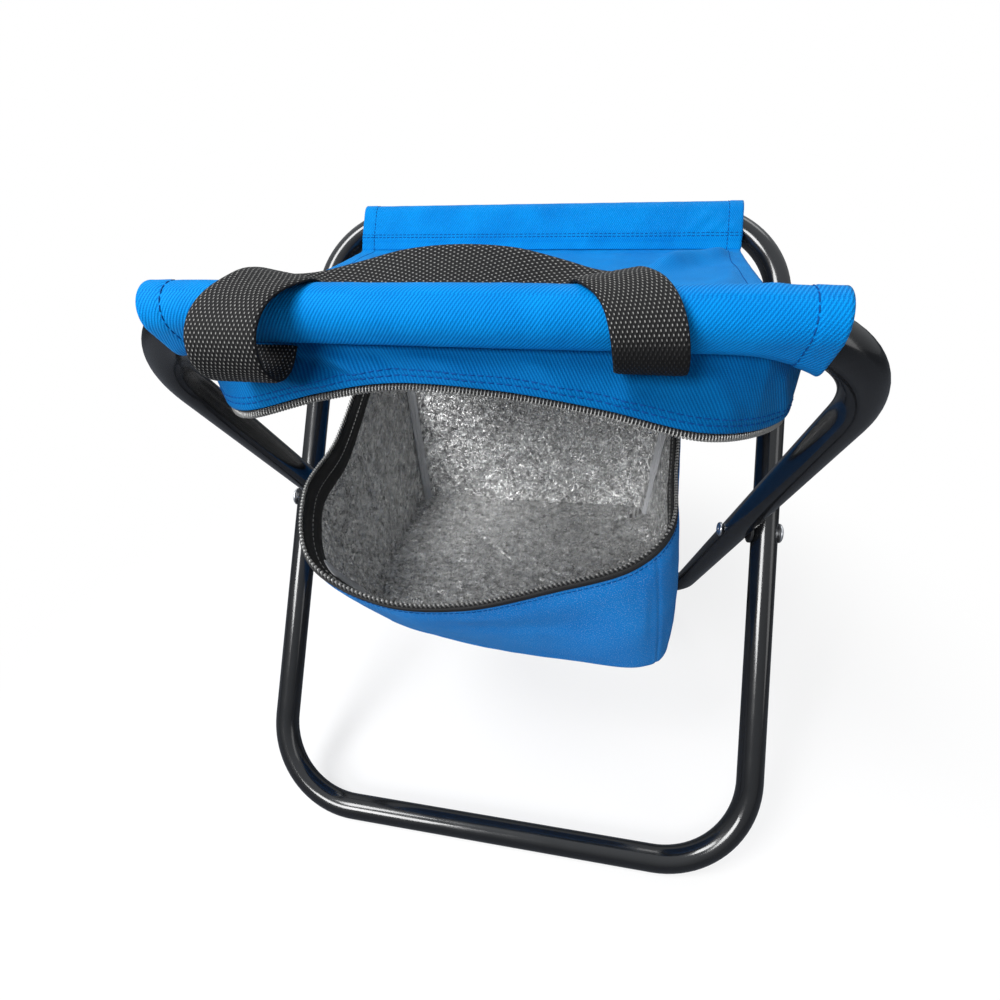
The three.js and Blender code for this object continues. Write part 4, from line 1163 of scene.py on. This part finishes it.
def wall_point(mark, t, depth, sewn=True):
    """Point at a share t of the wall's height, with the direction outwards; depth lies behind the cloth."""
    s = mark / MARKS
    low = FLOOR_EDGE.at(s)
    high = rim_point(s)
    out = unit(lerp(FLOOR_EDGE.outward(s), RIM_EDGE.outward(s), t[..., None]))
    if sewn:
        depth = pinched(depth, (1 - t) * (high[..., 2] - low[..., 2]))
    relief = ridges(BAG_FOLDS, mark % MARKS, t) * soft(0.0, 0.14, t) * soft(1.0, 0.84, t)
    bulge = BAG_BULGE * np.sin(math.pi * t) + relief
    return lerp(low, high, t[..., None]) + out * (bulge - depth)[..., None], out


def bag_columns(count, seams=True):
    """Marks round the bag, closer together at the corner seams."""
    marks = list(np.arange(count) * MARKS / count)
    if seams:
        for corner in CORNERS.values():
            marks += [(corner + d) % MARKS for d in (-0.09, -0.05, -0.02, 0.0, 0.02, 0.05, 0.09)]
    marks = np.unique(np.round(marks, 3))
    return marks[np.concatenate([[True], np.diff(marks) > 0.008])]


class BagSkin:
    """Grid from the rim down the wall, round the lower edge and in over the floor to its middle."""

    def __init__(self, marks, depth, wall_rows, sag, arc_rows=7, floor_rows=16):
        self.wall_rows = wall_rows
        self.split = wall_rows + arc_rows
        low_share = BAG_EDGE / wall_height(marks / MARKS)
        rows = [wall_point(marks, lerp(1.0, low_share, f), depth)[0] for f in np.linspace(0, 1, wall_rows)]
        foot, out = wall_point(marks, low_share, depth)
        r = BAG_EDGE - depth
        for k in range(1, arc_rows + 1):
            a = k / arc_rows * math.pi / 2
            rows.append(foot - out * (r * (1 - math.cos(a))) - np.array([0, 0, r * math.sin(a)]))
        edge = rows[-1]
        centre = edge.mean(0)
        for k in range(1, floor_rows + 1):
            f = 1 - k / (floor_rows + 1)
            ring = centre + (edge - centre) * f
            ring[:, 2] = edge[:, 2] - sag * (1 - f ** 2)
            rows.append(ring)
        self.grid = np.stack(rows)
        self.centre = centre - np.array([0, 0, sag])

    def put(self, soup, flip=False):
        """Adds the skin to a mesh; its rim's vertices and weave coordinates come back."""
        closed = np.concatenate([self.grid, self.grid[:, :1]], 1)
        down = np.linalg.norm(np.diff(closed, axis=0), axis=-1)
        v = np.concatenate([np.zeros((1, closed.shape[1])), np.cumsum(down, 0)])
        around = stack(lengths(closed[self.wall_rows // 2]), v)
        flat = closed[..., :2]
        index = soup.put(self.grid)
        soup.skin(index[:self.split], around[:self.split], wrap=True, flip=flip)
        soup.skin(index[self.split - 1:], flat[self.split - 1:], wrap=True, flip=flip)
        soup.fan(index[-1], flat[-1][:-1], self.centre, self.centre[:2], flip=not flip)
        return index[0], around[0]


def add_bag_layer(name, material, panels, outer, inner):
    """Two skins joined at the rim, in place of one node on each side of the bag and one below."""
    soup = Soup()
    top, weave = outer.put(soup)
    under, _ = inner.put(soup, flip=True)
    soup.skin(np.stack([top, under]), np.stack([weave, weave]), wrap=True)
    piece = soup.make(name, material)
    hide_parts(*[f"{panels}_{side}" for side in ("left", "front", "right", "rear", "bottom")])
    return piece


# Cloth of the bag: once round it, wall and half the floor
SHELL_STITCHES = 4.6


def add_bag_shell():
    marks = bag_columns(300)
    outer, inner = [BagSkin(marks, depth, 74, sag=3.0) for depth in (0.0, FABRIC)]
    grid, split = outer.grid, outer.split
    crease = -0.5 * seam_near(marks, 1.3) + 0.3 * seam_near(marks, 4.0)
    fade = np.ones(len(grid))
    fade[split:] = np.linspace(0.6, 0, len(grid) - split)
    edge = np.zeros(len(grid))
    edge[split - 1] = -0.5
    relief = crease[None] * fade[:, None] + edge[:, None] + 0.22 * grain(grid, 10.0, 11.0)
    outer.grid = grid + outward_normals(grid, 20) * relief[..., None]
    shell = add_bag_layer("bag_shell", BLUE_SHELL, "bag", outer, inner)

    # Sewn line below the rim binding
    run = np.linspace(0.05, ZIP_END - 0.05, 700)
    tall = wall_height(run / MARKS)
    path, out = wall_point(run, (tall - SHELL_STITCHES) / tall, -0.05)
    return [shell, stitched("bag_stitches", THREAD, [(path, out)])]


def add_bag_foam():
    marks = bag_columns(120, seams=False)
    outer, inner = [BagSkin(marks, depth, 22, sag=2.8) for depth in (FOAM_DEPTH, FOAM_DEPTH + FOAM)]
    foam = add_bag_layer("bag_foam", WHITE, "foam", outer, inner)
    return foam


# Ends of the crease on the rear wall: x, z at the floor, then x, z at the right seam
LINING_CREASE = (50.0, 126.0, 92.0, 180.0)


def add_bag_lining():
    marks = bag_columns(430)
    skin = BagSkin(marks, FOIL_DEPTH + FOIL, 118, sag=2.0, arc_rows=6, floor_rows=44)
    grid = skin.grid
    broad = grain(grid, 26.0, 21.0)
    creased = 1 - np.abs(grain(grid, 11.0, 31.0)) * 2.2
    fine = grain(grid, 3.6, 41.0)
    push = 0.15 + 1.8 * np.maximum(broad, 0) + 1.5 * np.clip(creased, 0, 1) ** 2 + 0.45 * fine
    free = 1 - 0.9 * np.minimum(seam_near(marks, 6.5), 1)
    fade = soft(RIM_TAPE - 1, RIM_TAPE + 9, grid[:1, :, 2] - grid[:, :, 2])
    floor = (np.arange(len(grid)) >= skin.split)[:, None]
    push = np.maximum(push * free, 0) * fade * np.where(floor, 0.8, 1.0)
    push[-4:] *= 0.4
    # The rear wall's foot leans in below a crease that climbs to the right
    x, y, z = np.moveaxis(grid, -1, 0)
    x0, z0, x1, z1 = LINING_CREASE
    below = ((x - x0) * (z1 - z0) - (z - z0) * (x1 - x0)) / math.hypot(x1 - x0, z1 - z0)
    lean = 0.5 * np.clip(below, 0, 34) * soft(28, 76, y) * free
    inward = -outward_normals(grid, 40)
    skin.grid = grid + inward * push[..., None] + lean[..., None] * np.array([0, -0.7, 0.7])
    soup = Soup()
    skin.put(soup)
    film = soup.make("bag_film", SILVER)
    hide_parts("lining_left", "lining_front", "lining_right", "lining_rear", "lining_bottom")
    return film


def add_corner_tape(name, corner):
    step = mark_length(corner)
    half = 5.2 / step
    marks = np.linspace(corner - half, corner + half, 13)
    tall = float(wall_height(np.array(corner / MARKS)))
    rises = np.linspace(BAG_EDGE - 3, tall - RIM_TAPE + 3.0, 90)
    m, r = crossed(marks, rises)
    off = (m - corner) / half
    pucker = 0.35 * np.sin(r / 3.1 + 2 * np.sin(r / 17)) * np.abs(off)
    ridge = 0.8 * bell(off, 0.22)
    near, _ = wall_point(m, r / tall, WALL_DEPTH + GAP + 1.4 + ridge + pucker)
    far, _ = wall_point(m, r / tall, WALL_DEPTH + GAP + 0.8)
    weave = stack(r, (m - corner) * step)
    piece = sheet_piece(f"binding_{name}", BINDING, [f"corner_tape_{name}"], near, far, weave)
    return piece


# Binding of the rim, up the inside, over the wall's edge and down a little outside: height over the rim,
# share of the way from the shell's face to the film's, distance of its face and of its back off it inwards
RIM_SECTION = [(-RIM_TAPE, 1, 1.3, 0.8), (-RIM_TAPE + 3, 1, 1.2, 0.7), (-RIM_TAPE + 6, 1, 1.0, 0.5),
               (-4, 1, 0.9, 0.4), (-1.2, 1, 0.8, 0.3)]
RIM_FACE = [(0.1, 1, 0.45), (0.5, 0.85, 0), (0.6, 0.5, 0), (0.5, 0.15, 0), (0.1, 0, -0.45), (-0.6, 0, -0.6),
            (-1.5, 0, -0.62), (-2.4, 0, -0.5)]
RIM_BACK = [(-0.2, 1, 0.1), (0.0, 0.85, 0), (0.1, 0.5, 0), (0.0, 0.15, 0), (-0.2, 0, -0.1), (-0.6, 0, -0.15),
            (-1.5, 0, -0.15), (-2.4, 0, -0.1)]
RIM_STITCHES = 6.2


def add_lower_zip():
    marks = np.linspace(0.0, ZIP_END, 640)
    s = marks / MARKS
    tall = wall_height(s)

    def line(rise, share, off):
        depth = lerp(pinched(0, -rise), pinched(WALL_DEPTH, -rise), share) + off
        return wall_point(marks, 1 + rise / tall, depth, sewn=False)

    face = [(rise, share, off) for rise, share, off, _ in RIM_SECTION] + RIM_FACE
    back = [(rise, share, off) for rise, share, _, off in RIM_SECTION] + RIM_BACK
    skin, under = [np.stack([line(*place)[0] for place in places], 1) for places in (face, back)]
    length = lengths(skin[:, 7])
    offs = np.array([rise if k < 7 else -rise for k, (rise, _, _) in enumerate(face)])
    weave = stack(length[:, None], offs)
    tape = sheet_piece("lower_zip_tape", TAPE, ["zip_tape_lower"], skin, under, weave)

    middle = line(0, 0.5, 0)[0]
    run = unit(np.gradient(middle, axis=0))
    facing = RIM_EDGE.outward(s)
    across = np.cross(facing, run)
    across = unit(across * np.sign(across[:, 2:]))
    # From its back this half shows one slanted loop of the coil for every two teeth
    path = middle + across * (2 * GAP + CHAIN_H / 2)
    teeth = add_teeth("lower_zip_teeth", "zip_chain_lower", path, across, facing, 2 * TEETH_PITCH, 2.1, -0.4)

    depth = pinched(WALL_DEPTH, RIM_STITCHES) + 1.0
    path, out = wall_point(marks, 1 - RIM_STITCHES / tall, depth, sewn=False)
    stitches = stitched("rim_stitches", PALE_THREAD, [(path, -out)], length=2.4, space=0.9)
    return [tape, stitches] + teeth


bag_pieces = add_bag_shell() + [add_bag_foam(), add_bag_lining()]
bag_pieces += [add_corner_tape(name, corner) for name, corner in CORNERS.items()]
bag_pieces += add_lower_zip()


# Zip slider, its pull and the tabs at the ends of the zip

def add_prism(name, node_name, body, outline, depth, matrix, bevel):
    """A flat outline with depth and rounded edges, put in place by a matrix in millimetres."""
    work = bmesh.new()
    corners = [work.verts.new((x, y, 0)) for x, y in outline]
    face = work.faces.new(corners)
    raised = bmesh.ops.extrude_face_region(work, geom=[face])
    top = [v for v in raised["geom"] if isinstance(v, bmesh.types.BMVert)]
    bmesh.ops.translate(work, vec=(0, 0, depth), verts=top)
    bmesh.ops.recalc_face_normals(work, faces=work.faces)
    bmesh.ops.bevel(work, geom=work.edges[:], offset=bevel, segments=3, profile=0.5, affect="EDGES",
                    clamp_overlap=True)
    place = Matrix.Translation((0, SHIFT, 0)) @ Matrix.Scale(MM, 4) @ matrix
    bmesh.ops.transform(work, matrix=place, verts=work.verts)
    mesh = bpy.data.meshes.new(name)
    work.to_mesh(mesh)
    work.free()
    mesh.uv_layers.new(name="Weave")
    piece = add_piece(name, mesh, PLASTIC)
    if node_name:
        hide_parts(node_name)
    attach(piece, body)


def block(x0, x1, y0, y1):
    return [(x0, y0), (x1, y0), (x1, y1), (x0, y1)]


SLIDER_Y = 80
SLOT_HALF = CHAIN_T / 2 + 0.35
PLATE_H = 7.2
CHAIN_X = SKIRT_HALF - TAPE_BACK
PLATE_T = 1.0
BAIL_X = CHAIN_X + SLOT_HALF + PLATE_T + GAP
BAIL_REACH = 3.8
PULL_T = 1.2


def on_side(x, z):
    """Frame of a plate that lies flat on the right side of the zip, its length forwards."""
    return axes((0, -1, 0), (0, 0, 1), (1, 0, 0), (x, SLIDER_Y, z))


def add_slider():
    middle = ZIP_Z + CHAIN_H / 2 + TAPE_SHOWN - 0.35 - PLATE_H / 2
    # Shield-shaped plates, wider at the front end where the halves meet
    edge = [(-5, -2.6), (-3.2, -3.3), (1.5, -3.6), (4.2, -3.4), (5, -2.2)]
    shield = edge + [(x, -y) for x, y in edge[::-1]]
    for name, node_name, x in (("slider_plate_outer", "zip_slider", CHAIN_X + SLOT_HALF),
                               ("slider_plate_inner", None, CHAIN_X - SLOT_HALF - PLATE_T)):
        add_prism(name, node_name, "zip_slider", shield, PLATE_T, on_side(x, middle), 0.28)
    place = on_side(CHAIN_X - SLOT_HALF - 0.3, ZIP_Z - CHAIN_H / 2 - 0.85)
    bridge = block(-4.4, 4.4, -0.5, 0.5)
    add_prism("slider_bridge", None, "zip_slider", bridge, 2 * SLOT_HALF + 0.6, place, 0.15)
    arch = []
    for reach, half, first, turn in ((BAIL_REACH, 4, 0.25, -1), (BAIL_REACH - 1.2, 2.8, 0.3, 1)):
        bow = [(reach * math.sin(a) ** 0.8, turn * half * math.cos(a)) for a in
               np.linspace(first, math.pi - first, 12)]
        arch += [(0, turn * half)] + bow + [(0, -turn * half)]
    place = axes((1, 0, 0), (0, 1, 0), (0, 0, 1), (BAIL_X, SLIDER_Y, ZIP_Z - 0.9))
    add_prism("slider_bail", "zip_slider_bail", "zip_slider", arch, 1.8, place, 0.3)


def rounded_block(x0, x1, half, r, steps=5):
    out = []
    middles = ((x1 - r, half - r), (x0 + r, half - r), (x0 + r, r - half), (x1 - r, r - half))
    for quarter, (cx, cy) in enumerate(middles):
        turns = np.linspace(quarter * math.pi / 2, (quarter + 1) * math.pi / 2, steps)
        out += [(cx + r * math.cos(a), cy + r * math.sin(a)) for a in turns]
    return out


def add_pull():
    """A fork whose cross bar turns in the bail, moulded with a grip that has ribs."""
    flat = on_side(BAIL_X + (BAIL_REACH - PULL_T) / 2 - 0.6, ZIP_Z)
    add_prism("pull_grip", "zip_pull", "zip_pull", rounded_block(5.0, 24, 3, 1.6), PULL_T, flat, 0.3)
    for name, outline in (("arm_upper", block(-0.6, 6, 1.3, 2.9)), ("arm_lower", block(-0.6, 6, -2.9, -1.3)),
                          ("bar", block(-0.6, 0.6, -1.6, 1.6))):
        add_prism(f"pull_{name}", None, "zip_pull", outline, PULL_T, flat, 0.3)
    for k in range(6):
        left = 10.5 + 2.0 * k
        rib = block(left, left + 0.8, -2.2, 2.2)
        for name, lift in (("outer", 1.1), ("inner", -0.25)):
            place = flat @ Matrix.Translation((0, 0, lift))
            add_prism(f"pull_rib_{name}_{k}", None, "zip_pull", rib, 0.35, place, 0.12)


TAB_W = 9
TAB_H = 15
TAB_HEM = 1.6


def add_end_tab(side, name):
    x = side * (SKIRT_HALF + FABRIC / 2 + GAP + 0.5)
    foot = ZIP_Z - CHAIN_H / 2
    ys = np.linspace(SKIRT_REAR - TAB_W, SKIRT_REAR, 20)
    zs = np.linspace(foot, foot + TAB_H, 30)
    y, z = crossed(ys, zs)
    edge = np.minimum(np.minimum(y - ys[0], ys[-1] - y), np.minimum(z - zs[0], zs[-1] - z))
    puff = 0.5 * soft(0, 1.2, edge) - 0.2 * bell(edge - TAB_HEM, 0.35)
    tab = sheet_piece(f"end_tab_{name}", TAPE, [f"zip_end_tab_{name}"], stack(x + side * puff, y, z),
                      stack(x - side * 0.45, y, z), stack(y, z))
    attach(tab, "outer_frame")
    box = block(ys[0] + TAB_HEM, ys[-1] - TAB_HEM, zs[0] + TAB_HEM, zs[-1] - TAB_HEM)
    lines = []
    for start, end in zip(box, box[1:] + box[:1]):
        line = np.linspace((x + side * 0.35, *start), (x + side * 0.35, *end), 12)
        lines.append((line, np.broadcast_to([float(side), 0, 0], line.shape)))
    stitches = stitched(f"end_tab_stitches_{name}", PALE_THREAD, lines, length=1.6, space=0.4, thread=0.2)
    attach(stitches, "outer_frame")


add_slider()
add_pull()
add_end_tab(-1, "left")
add_end_tab(1, "right")


# Carry handle: one strap from under the rail, over it, across the seat and back

def loop_line(side, count=60):
    """Middle of a loop from the rail's top down round its front, and the way across the strap."""
    t = np.linspace(0, 1, count)
    if side > 0:
        x = 60.9 - 13.5 * (1 - t) ** 2
        slack = 8.5 * np.sin(math.pi * t ** 2.1)
    else:
        x = -63.5 - 9.7 * soft(0, 0.62, t)
        slack = 17.0 * np.sin(math.pi * t ** 2.2)
    # The outer edge stands off the rail at the top
    tip = math.radians(7) * (1 - soft(0, 0.55, t))
    angle = lerp(math.pi / 2, math.radians(250), t)
    normal = stack(0 * t, np.cos(angle), np.sin(angle))
    rail = stack(x, -RAIL, TOP)
    centre = np.where((normal @ loop_plane(-1)[0] < 0)[:, None], hem_line(-1, x), rail)
    line = centre + normal * (SLEEVE_R + GAP + STRAP_T / 2 + slack + STRAP_W / 2 * np.sin(tip))[:, None]
    width = side * stack(np.cos(tip), 0 * t, 0 * t) + normal * np.sin(tip)[:, None]
    if side > 0:
        run = unit(np.gradient(line, axis=0))
        width = unit(width - 0.25 * run * (width * run).sum(1, keepdims=True))
    return line, width


# Grip from a loop's crown to its middle: share of the way across, how far behind and below
# the crown as shares of the strap's width, then the direction of that width
GRIP_RIGHT = [(0, 0, 0, 0.99, 0, 0.14), (0.03, 0.22, 0.02, 0.97, 0.18, 0.13),
              (0.11, 0.46, 0.18, 0.9, 0.34, 0.22), (0.25, 0.68, 0.33, 0.72, 0.5, 0.45),
              (0.42, 0.80, 0.32, 0.45, 0.6, 0.64), (0.66, 0.86, 0.23, 0.2, 0.66, 0.71),
              (1, 0.86, 0.19, 0, 0.69, 0.72)]
GRIP_LEFT = [(0, 0, 0, 0.99, 0, 0.14), (0.03, 0.22, 0.06, 0.97, 0.18, 0.13),
             (0.10, 0.44, 0.24, 0.9, 0.34, 0.22), (0.24, 0.66, 0.37, 0.74, 0.48, 0.42),
             (0.42, 0.77, 0.36, 0.45, 0.62, 0.6), (0.68, 0.84, 0.25, 0.2, 0.66, 0.7)]


def grip_line(right, left, count=220):
    middle_x = (right[0] + left[0]) / 2
    places, widths = [], []
    for crown, side, rows in ((right, 1, GRIP_RIGHT), (left, -1, GRIP_LEFT[::-1])):
        for share, back, drop, *width in rows:
            places.append((lerp(crown[0], middle_x, share), crown[1] + GAP + back * STRAP_W,
                           crown[2] - drop * STRAP_W))
            widths.append((side * width[0], width[1], width[2]))
    t = np.linspace(0, 1, count)
    return Spline(places, False).at(t), unit(Spline(widths, False).at(t))


def smooth_line(values, times):
    for _ in range(times):
        inner = (values[:-2] + 2 * values[1:-1] + values[2:]) / 4
        values = np.concatenate([values[:1], inner, values[-1:]])
    return values


def add_handle():
    (right, right_width), (left, left_width) = loop_line(1), loop_line(-1)
    middle, across = grip_line(right[0], left[0])
    line = np.concatenate([right[::-1], middle[1:-1], left])
    widths = np.concatenate([right_width[::-1], across[1:-1], left_width])
    length = lengths(line)
    at = np.linspace(0, length[-1], int(length[-1] / 0.9))
    line = smooth_line(sampled(at, length, line), 10)
    widths = unit(smooth_line(sampled(at, length, widths), 12))
    face = unit(np.cross(widths, unit(np.gradient(line, axis=0))))
    # Both faces of the strap: thinner at its woven edges, narrower at the right loop
    w = np.linspace(-1, 1, 27)
    half = STRAP_T / 2 * (1 - 0.55 * soft(0.86, 1.0, np.abs(w))) + 0.06 * np.cos(np.pi * w * 9)
    slim = STRAP_W / 2 * lerp(0.88, 1, soft(40, 110, at))
    places = line[:, None] + widths[:, None] * (slim[:, None] * w)[..., None]
    lift = face[:, None] * half[None, :, None]
    strap = sheet_piece("handle_strap", WEBBING, ["handle_loop_left", "handle_loop_right", "handle_grip"],
                        places + lift, places - lift, stack(w * STRAP_W / 2, at[:, None]))
    return strap


strap = add_handle()

# Hidden solids get a finish, the bag's pieces ride on the outer frame, and the other pieces have their
# placing baked into their meshes

for name in ("outer_rail_insert", "inner_rail_insert"):
    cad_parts[name].data.materials.clear()
    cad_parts[name].data.materials.append(ZINC)


for piece in fold_pieces:
    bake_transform(piece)
for piece in bag_pieces:
    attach(piece, "outer_frame")
    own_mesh(piece)
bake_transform(strap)
